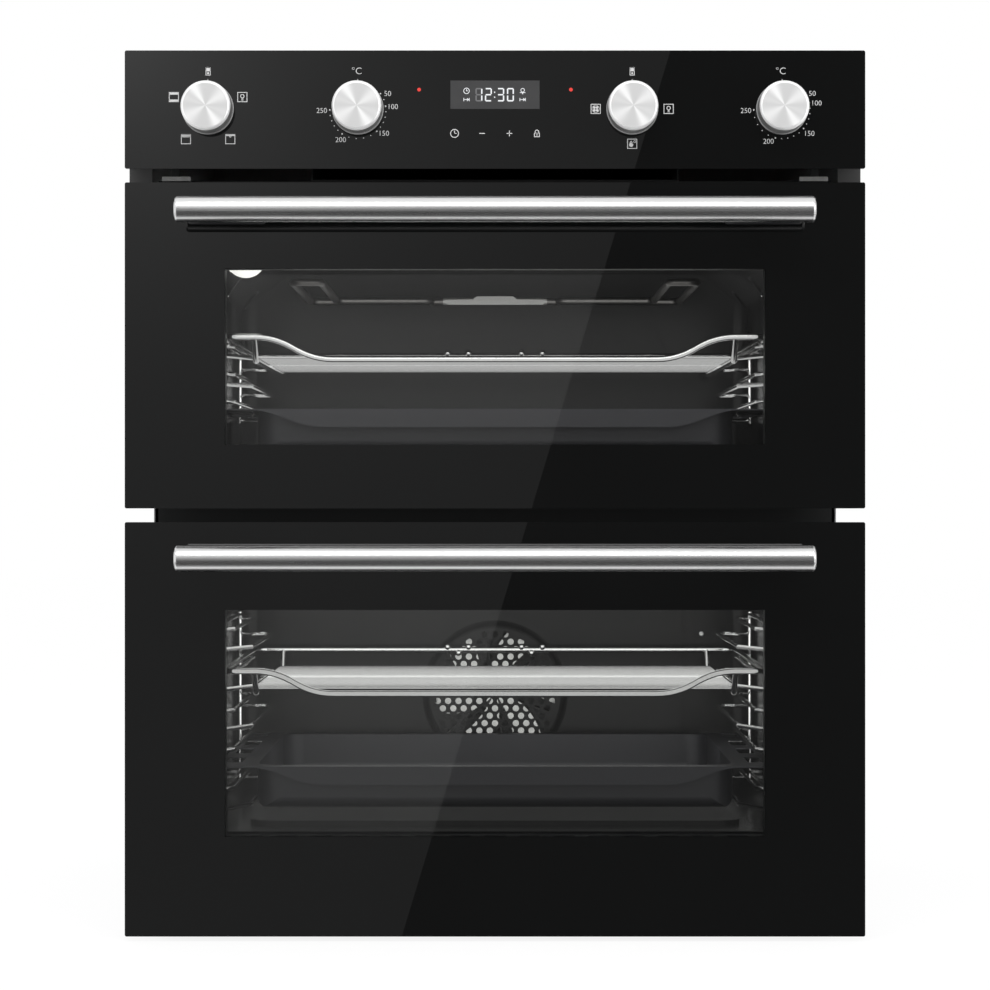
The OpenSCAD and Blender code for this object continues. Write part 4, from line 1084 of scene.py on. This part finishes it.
@dataclass
class ControlPanel:
    """The printed marks, figures and lights on the control panel, drawn in mm."""

    line: float = 0.55
    icon: float = 8.0
    digit_h: float = 10.8
    digit_w: float = 5.6
    segment: float = 1.05
    sign_line: float = 0.5
    touch_line: float = 0.6
    dial_r: float = 22.6
    dial_low: float = 1.3
    cell_size: tuple[float, float] = (71.6, 22.8)
    figures_down: float = 17.4
    touch_up: float = 12.0
    thickness: float = 0.06 * MM

    def __post_init__(self) -> None:
        """Takes the panel's places from the frame."""
        self.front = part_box("control_fascia")[0].y
        centres = {name: middle(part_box(name + "_spindle")) for name in KNOBS}
        self.knobs = {name: (centre.x, centre.z) for name, centre in centres.items()}
        low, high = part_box("display_module")
        self.figures = (0.0, high.z - self.figures_down * MM)
        self.touch = (0.0, low.z + self.touch_up * MM)

    def print(self, art: Artwork, finish: Finish = INK, slot: str = "light_plastic") -> None:
        """Prints the artwork on the panel's glass."""
        art.printed(self.front, self.thickness, finish, slot)

    def draw(self, art: Artwork, icon: Icon, u: float, v: float) -> None:
        """Draws one function's sign.

        Args:
            art: what it is drawn on.
            icon: which sign it is.
            u: how far right its middle is.
            v: how far up its middle is.
        """
        half, line = self.icon / 2, self.line
        if icon is Icon.OFF:
            art.box(u, v, half, self.icon * 0.82, line)
            art.bar(u, v + half * 0.4, half * 0.9, half * 0.8)
            art.dot(u, v - half * 0.38, half * 0.2)
            return
        art.box(u, v, self.icon, self.icon, line)
        if icon is Icon.DEFROST:
            art.dot(u - half * 0.2, v - half * 0.2, half * 0.42)
            drop = [(u - half * 0.55, v), (u - half * 0.2, v + half * 0.6), (u + half * 0.1, v)]
            art.stroke(drop, line)
            art.ring(u + half * 0.52, v + half * 0.42, half * 0.26, line * 0.7)
        elif icon is Icon.LAMP:
            art.ring(u, v + half * 0.18, half * 0.42, line)
            for down in (0.36, 0.6):
                art.bar(u, v - half * down, half * 0.4, line)
        elif icon is Icon.FAN:
            for turn in range(4):
                angle = math.radians(45 + 90 * turn)
                across, up = half * 0.4 * math.cos(angle), half * 0.4 * math.sin(angle)
                art.dot(u + across, v + up, half * 0.27)
            art.ring(u, v, half * 0.78, line * 0.6)
        elif icon is Icon.BOTH_HEATS:
            for side in (0.66, -0.66):
                art.bar(u, v + half * side, self.icon * 0.92, half * 0.34)
        else:
            self.grill(art, u, v, 5 if icon is Icon.FULL_GRILL else 1)

    def grill(self, art: Artwork, u: float, v: float, teeth: int) -> None:
        """Draws the rest of a grill's sign: a bar with a zigzag under it.

        Args:
            art: what it is drawn on.
            u: how far right its middle is.
            v: how far up its middle is.
            teeth: how many teeth the zigzag has.
        """
        half = self.icon / 2
        span, depth = (half * 1.5, half * 0.4) if teeth > 1 else (half * 0.4, half * 0.26)
        art.bar(u, v + half * 0.76, self.icon * 0.92, depth)
        top, tooth = v + half * 0.6, span / teeth
        zigzag = []
        for number in range(teeth):
            start = u - span / 2 + number * tooth
            zigzag += [(start, top), (start + tooth / 2, top - half * 0.26)]
        art.stroke([*zigzag, (u + span / 2, top)], self.line)

    def function_marks(self, knob: str, signs: dict[Icon, tuple[float, float]]) -> None:
        """Prints the signs round a function switch.

        Args:
            knob: the knob that they go round.
            signs: each sign's place from the knob's middle.
        """
        art = Artwork(knob + "_marks", self.knobs[knob])
        for icon, place in signs.items():
            self.draw(art, icon, *place)
        self.print(art)

    def temperature_marks(self, knob: str, stops: list[tuple[int, float, float, float]]) -> None:
        """Prints a thermostat's scale.

        Args:
            knob: the knob that it goes round.
            stops: each figure with its dot's clockwise angle and its own place from the knob's
                middle.
        """
        art = Artwork(knob + "_marks", self.knobs[knob])
        for (figure, angle, u, v), following in zip(stops, [*stops[1:], None]):
            art.words(u, v, str(figure), 5.9, -0.03)
            steps = 5 if following and figure >= 100 else 2 if following else 1
            reach = following[1] - angle if following else 0.0
            for step in range(steps):
                turn = math.radians(angle + reach * step / steps)
                across, up = self.dial_r * math.sin(turn), self.dial_r * math.cos(turn)
                art.dot(across, up - self.dial_low, 0.62 if step == 0 else 0.42, 12)
        art.words(-0.9, 30.2, "°C", 7.8, -0.06)
        self.print(art)

    def digit(self, art: Artwork, u: float, lit: str) -> None:
        """Draws some of a figure's seven segments.

        Args:
            art: what it is drawn on.
            u: how far right the figure's middle is.
            lit: the segments, as letters from a to g.
        """
        half_w, half_h, bar = self.digit_w / 2, self.digit_h / 2, self.segment
        gap = bar * 0.62
        runs = {
            "a": (0.0, half_h - bar / 2, 0), "d": (0.0, bar / 2 - half_h, 0), "g": (0.0, 0.0, 0),
            "b": (half_w - bar / 2, half_h / 2, 1), "c": (half_w - bar / 2, -half_h / 2, 1),
            "f": (bar / 2 - half_w, half_h / 2, 1), "e": (bar / 2 - half_w, -half_h / 2, 1),
        }
        for name in lit:
            du, dv, upright = runs[name]
            length = (half_h if upright else self.digit_w) - 2 * gap
            art.bar(u + du, dv, *((bar, length) if upright else (length, bar)))

    def clock_sign(self, art: Artwork, u: float, v: float, radius: float, line: float) -> None:
        """Draws a small clock face about (u, v)."""
        art.ring(u, v, radius, line)
        art.stroke([(u, v + radius * 0.6), (u, v), (u + radius * 0.4, v)], line)

    def display(self) -> None:
        """Prints the display's grey cell, and its figures and signs as a thin bright layer."""
        cell = Artwork("display_window", self.figures)
        cell.bar(0.0, 0.0, *self.cell_size)
        cell.printed(self.front, self.thickness * 0.5, CELL, "display")
        lit = Artwork("display_figures", self.figures)
        for u, segments in ((-12.9, "bc"), (-5.3, "abged"), (4.6, "abgcd"), (12.4, "abcdef")):
            self.digit(lit, u, segments)
        for v in (-2.0, 2.0):
            lit.dot(-0.3, v, 0.55, 12)
        self.print(lit, DIGITS, "display")
        # painted glow: the unlit segments of the first figure glow faintly
        unlit_glow = Artwork("display_unlit_figure", self.figures)
        self.digit(unlit_glow, -12.9, "afged")
        self.print(unlit_glow, UNLIT_GLOW, "display")
        signs = Artwork("display_signs", self.figures)
        line, left, right = self.sign_line, -22.9, 22.2
        self.clock_sign(signs, left, 3.1, 2.5, line)
        for u in (left, right):
            for side in (-2.2, 2.2):
                signs.bar(u + side, -3.9, line, 2.6)
            signs.bar(u, -3.9, 3.6, line)
            signs.stroke([(u + 0.5, -2.9), (u + 1.7, -3.9), (u + 0.5, -4.9)], line)
        signs.ring(right, 3.6, 1.7, line)
        signs.bar(right, 1.7, 4.6, line)
        signs.dot(right, 0.8, 0.5, 10)
        self.print(signs, DIGITS, "display")

    def touch_marks(self) -> None:
        """Prints the four touch fields: clock, minus, plus and lock."""
        art, line = Artwork("touch_marks", self.touch), self.touch_line
        clock, minus, plus, lock, length = -32.5, -10.4, 11.6, 33.7, 4.6
        self.clock_sign(art, clock, 0.0, 3.5, line)
        art.bar(minus, 0.0, length, line)
        art.bar(plus, 0.0, length, line)
        art.bar(plus, 0.0, line, length)
        art.ring(lock, 1.3, 1.7, line)
        art.box(lock, -1.2, 4.6, 3.4, line)
        art.dot(lock, -1.2, 0.5, 10)
        self.print(art)

    def warning_lights(self) -> None:
        """Prints the two red lights, seen as small discs in the glass."""
        low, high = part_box("indicator_lamps")
        art = Artwork("warning_lights", (0.0, (low.z + high.z) / 2))
        for side in (-1.0, 1.0):
            art.dot(side * (high.x / MM - 4.0), 0.0, 1.5, 24)
        self.print(art, LAMP_RED, "red_lens")

    def build(self) -> None:
        """Prints everything on the panel."""
        self.display()
        self.touch_marks()
        self.warning_lights()
        self.function_marks("upper_function", {
            Icon.OFF: (0.0, 30.2), Icon.LAMP: (27.5, 9.5), Icon.HALF_GRILL: (17.8, -24.3),
            Icon.FULL_GRILL: (-17.8, -24.3), Icon.BOTH_HEATS: (-27.5, 9.5)})
        self.function_marks("lower_function", {
            Icon.OFF: (0.0, 30.2), Icon.LAMP: (29.3, 0.0), Icon.DEFROST: (0.0, -28.0),
            Icon.FAN: (-29.3, 0.0)})
        self.temperature_marks("upper_temperature", [
            (50, 53.2, 23.9, 12.1), (100, 81.2, 28.0, 1.6), (150, 137.6, 20.8, -19.8),
            (200, 213.9, -13.8, -24.9), (250, 271.3, -29.0, -1.5)])
        self.temperature_marks("lower_temperature", [
            (50, 52.0, 24.4, 12.2), (100, 74.2, 27.7, 4.5), (150, 129.7, 21.9, -19.9),
            (200, 193.4, -10.8, -26.2), (250, 271.3, -28.9, -1.6)])


# Fasteners and hooks ------------------------------------------------------------------------

class Facing(Enum):
    """The way that a screw's head looks, as the turn that takes it there from facing up."""

    FRONT = (math.pi / 2, 0.0, 0.0)
    BACK = (-math.pi / 2, 0.0, 0.0)
    UP = (0.0, 0.0, 0.0)
    RIGHT = (0.0, math.pi / 2, 0.0)
    LEFT = (0.0, -math.pi / 2, 0.0)


Places: TypeAlias = list[tuple[Point, Facing]]


@dataclass
class Fasteners:
    """The screws of the casing and the rear wall, modelled once and copied."""

    head_r: float = 3.7 * MM
    head_h: float = 2.0 * MM
    edge: float = 0.7 * MM
    recess_w: float = 0.75 * MM
    recess_h: float = 1.8 * MM
    sunk: float = 0.2 * MM
    carcass_half: float = 278.5 * MM
    small: float = 0.6
    wall_place: tuple[float, float] = (195.7 * MM, 227.3 * MM)

    def head(self) -> bpy.types.Object:
        """Models a pan head with a cross recess.

        Returns:
            The head, facing up with its underside at the origin.
        """
        place = (0.0, 0.0, self.head_h / 2)
        disc = {"vertices": 28, "radius": self.head_r, "depth": self.head_h, "location": place}
        head = Bench.settle(Bench.added(bpy.ops.mesh.primitive_cylinder_add, **disc))
        Bench.modify(head, "BEVEL", width=self.edge, segments=3, limit_method="ANGLE")
        for turn in (0.0, math.pi / 2):
            block = {"location": (0.0, 0.0, self.head_h), "rotation": (0.0, 0.0, turn)}
            slot = Bench.added(bpy.ops.mesh.primitive_cube_add, size=1.0, **block)
            slot.scale = (self.head_r * 1.15, self.recess_w, self.recess_h)
            Bench.settle(slot)
            Bench.modify(head, "BOOLEAN", object=slot, operation="DIFFERENCE", solver="EXACT")
            bpy.data.objects.remove(slot)
        Bench.smooth(head)
        return head

    @staticmethod
    def grid(
        xs: tuple[float, ...], ys: tuple[float, ...], zs: tuple[float, ...], facing: Facing
    ) -> Places:
        """A screw at every crossing of some x, y and z."""
        return [((x, y, z), facing) for x in xs for y in ys for z in zs]

    def places(self) -> dict[str, Places]:
        """Works out where the casing's screws sit.

        Returns:
            The places by the name of the piece that they make up.
        """
        low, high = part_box("back_panel")
        back, hub = (high.y - self.sunk,), middle(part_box("fan_motor")).z
        up_the_sides = (30 * MM, 200 * MM, 370 * MM, 540 * MM, high.z - 30 * MM)
        rim = self.grid((low.x + 7 * MM, high.x - 7 * MM), back, up_the_sides, Facing.BACK)
        ends = (8 * MM, high.z - 8 * MM)
        rim += self.grid((-140 * MM, 0.0, 140 * MM), back, ends, Facing.BACK)
        rim += self.grid((-53 * MM, 53 * MM), back, (hub - 30 * MM, hub + 30 * MM), Facing.BACK)
        low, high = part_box("top_panel")
        depths, top = (-200 * MM, 50 * MM, high.y - 30 * MM), (high.z - self.sunk,)
        lid = self.grid((low.x + 8 * MM, high.x - 8 * MM), depths, top, Facing.UP)
        sides = []
        for name, facing, side in (
            ("side_panel_left", Facing.LEFT, -1.0), ("side_panel_right", Facing.RIGHT, 1.0)
        ):
            depths = (-195 * MM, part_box(name)[1].y - 8 * MM)
            face = (side * (self.carcass_half - self.sunk),)
            sides += self.grid(face, depths, (50 * MM, 300 * MM, 580 * MM), facing)
        front = (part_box("front_frame")[0].y + self.sunk,)
        mouth = self.grid((-262 * MM, 262 * MM), front, (360 * MM, 580 * MM), Facing.FRONT)
        return {"back_screws": rim, "top_screws": lid, "side_screws": sides, "frame_screws": mouth}

    def build(self) -> None:
        """Copies the screw to all its places, one piece to each sheet."""
        head = self.head()
        for name, places in self.places().items():
            copies = [Bench.copied(head, place, facing.value) for place, facing in places]
            Bench.hand_over(Bench.joined(name, copies), "casing", STEEL, "steel")
        across, up = self.wall_place
        place = (across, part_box("fan_cover")[1].y + self.sunk, up)
        one = Bench.copied(head, place, Facing.FRONT.value, self.small)
        Bench.hand_over(Bench.joined("rear_wall_screw", [one]), "casing", STEEL, "steel")
        bpy.data.objects.remove(head)


@dataclass
class SlantHooks:
    """The thin wire hooks on the upper cavity's slants, from a dark hole down to a pale pin.

    Points are those of a right-hand hook, with their depths from its hole.
    """

    holes_y: tuple[float, float] = (-54.3 * MM, 135.7 * MM)
    start: Point = (221.3 * MM, 0.0, 547.3 * MM)
    start_pull: Point = (227.2 * MM, 12 * MM, 540.8 * MM)
    end_pull: Point = (233.5 * MM, 35 * MM, 535.6 * MM)
    end: Point = (236.2 * MM, 50 * MM, 535.2 * MM)
    plug: Point = (221.6 * MM, 0.0, 547.6 * MM)
    wire_r: float = 0.8 * MM
    pin_r: float = 1.5 * MM
    plug_r: float = 2.2 * MM

    @staticmethod
    def at(point: Point, side: float, hole_y: float) -> Point:
        """A point of one of the hooks, by its side and its hole's depth."""
        return (side * point[0], hole_y + point[1], point[2])

    def hook(self, side: float, hole_y: float) -> bpy.types.Object:
        """Bends one wire, as a curve that is turned into a mesh.

        Args:
            side: -1 for the left wall and 1 for the right.
            hole_y: its hole's depth.

        Returns:
            The wire.
        """
        wire = Bench.added(bpy.ops.curve.primitive_bezier_curve_add, location=(0.0, 0.0, 0.0))
        first, last = wire.data.splines[0].bezier_points
        first.co = first.handle_left = self.at(self.start, side, hole_y)
        first.handle_right = self.at(self.start_pull, side, hole_y)
        last.co = last.handle_right = self.at(self.end, side, hole_y)
        last.handle_left = self.at(self.end_pull, side, hole_y)
        wire.data.bevel_depth = self.wire_r
        wire.data.bevel_resolution = 2
        wire.data.resolution_u = 10
        wire.data.use_fill_caps = True
        bpy.ops.object.convert(target="MESH")
        return Bench.settle(bpy.context.view_layer.objects.active)

    def ball(self, place: Point, radius: float) -> bpy.types.Object:
        """A round end or plug."""
        ball = {"segments": 20, "ring_count": 10, "radius": radius, "location": place}
        return Bench.settle(Bench.added(bpy.ops.mesh.primitive_uv_sphere_add, **ball))

    def build(self) -> None:
        """Makes the hooks, their pins and the dark plugs where they enter the slant."""
        spots = [(side, hole_y) for side in (-1.0, 1.0) for hole_y in self.holes_y]
        hooks = [self.hook(*spot) for spot in spots]
        hooks += [self.ball(self.at(self.end, *spot), self.pin_r) for spot in spots]
        plugs = [self.ball(self.at(self.plug, *spot), self.plug_r) for spot in spots]
        for name, parts, finish, slot in (
            ("slant_hooks", hooks, WIRE, "bright_wire"),
            ("slant_plugs", plugs, BLACK, "dark_plastic"),
        ):
            piece = Bench.joined(name, parts)
            Bench.smooth(piece, 60.0)
            Bench.hand_over(piece, "casing", finish, slot)


# Dressing of the frame ----------------------------------------------------------------------

@dataclass
class Dressing:
    """Gives each node of the frame its finish."""

    window_half: float = 217.3 * MM
    upper_window: tuple[float, float] = (399.4 * MM, 540.7 * MM)
    lower_window: tuple[float, float] = (84.1 * MM, 266.4 * MM)
    pane_more: float = 4.0 * MM
    tab_z: float = 616.3 * MM
    flange_y: float = -233.6 * MM
    vane_t: float = 1.6 * MM
    knob_chamfer: float = 3.0 * MM

    def window(
        self, heights: tuple[float, float], more: float = 0.0
    ) -> tuple[float, float, float, float]:
        """The window's left, bottom, right and top, grown by more on every side."""
        half = self.window_half + more
        return (-half, heights[0] - more, half, heights[1] + more)

    def finishes(self) -> dict[str, Finish]:
        """Chooses the finishes.

        Returns:
            Each node's finish, by its name.
        """
        upper, lower, more = self.upper_window, self.lower_window, self.pane_more
        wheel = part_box("convection_fan")
        table: dict[Finish, str] = {
            Glass("panel_print"): "control_fascia",
            Glass("upper_door_print", self.window(upper)): "upper_door_glass",
            Glass("lower_door_print", self.window(lower)): "lower_door_glass",
            Glass("upper_pane_print", self.window(upper, more)): "upper_inner_pane",
            Glass("lower_pane_print", self.window(lower, more)): "lower_inner_pane",
            PANE: "lower_middle_pane",
            # painted shade: the cooling fan's housing is near black, standing in for the dark
            # recess seen through the gap
            BLACK_SHEET_AND_SHADE: "front_frame upper_door_frame lower_door_frame cooling_fan_housing",
            ZINC: "top_panel base_panel back_panel",
            # painted shade on the side panels' front flanges
            FlangedSheet("flanged_sheet", ZINC.colour, flange_y=self.flange_y):
                "side_panel_left side_panel_right",
            # painted shade on the bracket above its zinc tabs
            DippedSheet("bracket_with_painted_shade", self.tab_z): "fascia_bracket",
            LINER: "upper_cavity lower_cavity fan_cover",
            TRAY: "upper_tray lower_tray",
            WIRE: "upper_rack_left upper_rack_right lower_rack_left lower_rack_right upper_shelf"
                  " lower_shelf",
            SHEATH: "ring_element",
            GRILL: "grill_element",
            BAR: "upper_handle lower_handle",
            # painted shade on the wheel, past its vanes' fronts
            Wheel("fan_wheel", tuple(middle(wheel)), wheel[0].y + self.vane_t): "convection_fan",
            STEEL: "fan_motor cooling_fan_motor thermostats hinge_arms"
                   " upper_hinge_cassettes lower_hinge_cassettes upper_function_spindle"
                   " upper_temperature_spindle lower_function_spindle lower_temperature_spindle",
            BLACK: "cooling_fan upper_handle_brackets lower_handle_brackets",
            CREAM: "selector_switches terminal_block",
            SEAL: "upper_door_seal lower_door_seal",
            CELL: "display_module",
            LAMP_RED: "indicator_lamps",
            LENS: "oven_lamp",
            WOOL: "upper_insulation lower_insulation",
        }
        dressed = {node: finish for finish, nodes in table.items() for node in nodes.split()}
        for knob in KNOBS:
            low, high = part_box(knob + "_knob")
            centre = tuple(middle(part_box(knob + "_spindle")))
            face_r = (high.x - low.x) / 2 - self.knob_chamfer
            # painted highlights on each knob's face
            dressed[knob + "_knob"] = SpunMetal(knob + "_aluminium", centre, face_r, low.y)
        return dressed

    def build(self) -> None:
        """Assigns the finishes to the nodes' material slots."""
        finishes = self.finishes()
        for name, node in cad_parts.items():
            made = finishes[name].material()
            for place in node.material_slots:
                place.material = made
            LOG.info("%s: %s", name, made.name)


# Studio -------------------------------------------------------------------------------------

@dataclass
class Studio:
    """The camera, floor, lights and glossy cards."""

    eye: Point = (0.0, -2.7553, 0.3588)
    lens: float = 113.15
    sensor: float = 36.0
    ambient: float = 0.75
    mouth_glow: float = 0.8
    mouth_y: float = -211 * MM
    mouth_w: float = 460 * MM
    rear_y: float = -20 * MM
    inner_w: float = 440 * MM
    shelf_light_d: float = 300 * MM
    wheel_light_w: float = 110 * MM

    def camera(self) -> None:
        """Stands a level camera in front of the oven."""
        data = bpy.data.cameras.new("camera")
        data.lens = self.lens
        data.sensor_width = self.sensor
        data.clip_end = 60.0
        camera = bpy.data.objects.new("camera", data)
        camera.location = self.eye
        camera.rotation_euler = (math.pi / 2, 0.0, 0.0)
        bpy.context.scene.collection.objects.link(camera)
        bpy.context.scene.camera = camera

    def world(self) -> None:
        """Makes the world white where it is seen, and a pale even light elsewhere."""
        world = bpy.data.worlds.new("studio")
        world.use_nodes = True
        bpy.context.scene.world = world
        bench = ShaderBench(world.node_tree)
        path = bench.node("ShaderNodeLightPath").socket.node
        seen = Value(bench, path.outputs["Is Camera Ray"])
        for name in ("Is Glossy Ray", "Is Transmission Ray"):
            seen = seen.math("MAXIMUM", Value(bench, path.outputs[name]))
        inputs = {"Color": WHITE, "Strength": seen * (1.0 - self.ambient) + self.ambient}
        bench.finish(bench.node("ShaderNodeBackground", {}, inputs), "ShaderNodeOutputWorld")

    def plane(
        self, name: str, finish: Finish, size: tuple[float, float], place: Point, tilt: float = 0.0
    ) -> bpy.types.Object:
        """Adds a stage plane that isn't part of the oven.

        Args:
            name: its name.
            finish: its finish.
            size: its width and length.
            place: where its middle is.
            tilt: how far its far side is turned up, in radians.

        Returns:
            The plane.
        """
        settings = {"size": 1.0, "location": place, "rotation": (tilt, 0.0, 0.0)}
        sheet = Bench.added(bpy.ops.mesh.primitive_plane_add, **settings)
        sheet.name = name
        sheet.scale = (*size, 1.0)
        Bench.settle(sheet)
        sheet.data.materials.append(finish.material())
        return sheet

    def stage(self) -> None:
        """Lays a floor that keeps the oven's shadow, and cards that only reflections show."""
        floor = self.plane("floor", PaleFloor("pale_floor"), (16.0, 16.0), (0.0, 3.0, 0.0))
        floor.visible_glossy = False
        wall, ground = LitWall("front_card"), DimGround("lower_card")
        for card in (
            self.plane("front_card", wall, (4.4, 3.8), (0.0, -4.5, 0.2), math.pi / 2),
            self.plane("lower_card", ground, (4.4, 3.6), (0.0, -2.35, -0.7)),
        ):
            for ray in ("camera", "diffuse", "shadow", "transmission"):
                setattr(card, "visible_" + ray, False)

    def lamp(
        self, name: str, place: Point, facing: Point, size: tuple[float, float], watts: float
    ) -> None:
        """Hangs a rectangular soft light.

        Args:
            name: the light's name.
            place: where it hangs.
            facing: the way that it shines.
            size: its width and height.
            watts: its power.
        """
        data = bpy.data.lights.new(name, "AREA")
        data.shape = "RECTANGLE"
        data.size, data.size_y = size
        data.energy = watts
        lamp = bpy.data.objects.new(name, data)
        lamp.location = place
        lamp.rotation_euler = Vector(facing).to_track_quat("-Z", "Y").to_euler()
        lamp.visible_camera = False
        bpy.context.scene.collection.objects.link(lamp)

    def lamps(self) -> None:
        """Hangs two soft lights before the oven, and lights each cavity from inside."""
        self.lamp("key", (-0.3, -2.0, 2.1), (0.3, 1.8, -1.65), (2.4, 0.7), 26.0)
        self.lamp("fill", (1.9, -1.6, 1.0), (-1.9, 1.4, -0.6), (0.9, 1.2), 8.0)
        for name, up, height in (("upper_mouth", 0.47, 0.145), ("lower_mouth", 0.18, 0.19)):
            watts = self.mouth_glow * math.pi * self.mouth_w * height
            for ending, depth, width, power in (
                ("", self.mouth_y, self.mouth_w, watts),
                ("_rear", self.rear_y, self.inner_w, 2 * watts),
            ):
                self.lamp(name + ending, (0.0, depth, up), BACKWARDS, (width, height), power)
        depth = middle(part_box("lower_shelf")).y
        size = (self.inner_w, self.shelf_light_d)
        for name, up, facing, watts in (
            ("upper_shelf_light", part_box("upper_tray")[1].z + 5 * MM, UPWARDS, 0.26),
            ("lower_shelf_light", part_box("lower_cavity")[1].z - 12 * MM, DOWNWARDS, 0.4),
            ("lower_floor_light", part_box("lower_tray")[0].z - 5 * MM, DOWNWARDS, 0.03),
        ):
            self.lamp(name, (0.0, depth, up), facing, size, watts)
        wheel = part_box("convection_fan")
        place, size = (0.0, wheel[0].y - 5 * MM, middle(wheel).z), (self.wheel_light_w,) * 2
        self.lamp("wheel_light", place, BACKWARDS, size, 0.02)

    def build(self) -> None:
        """Sets up the whole studio."""
        bpy.context.scene.view_settings.view_transform = "Standard"
        self.camera()
        self.world()
        self.stage()
        self.lamps()


def main() -> None:
    """Dresses the oven and sets it in the studio."""
    logging.basicConfig(level=logging.INFO, format="%(name)s: %(message)s")
    Dressing().build()
    ControlPanel().build()
    Fasteners().build()
    SlantHooks().build()
    Studio().build()


if __name__ == "__main__":
    main()
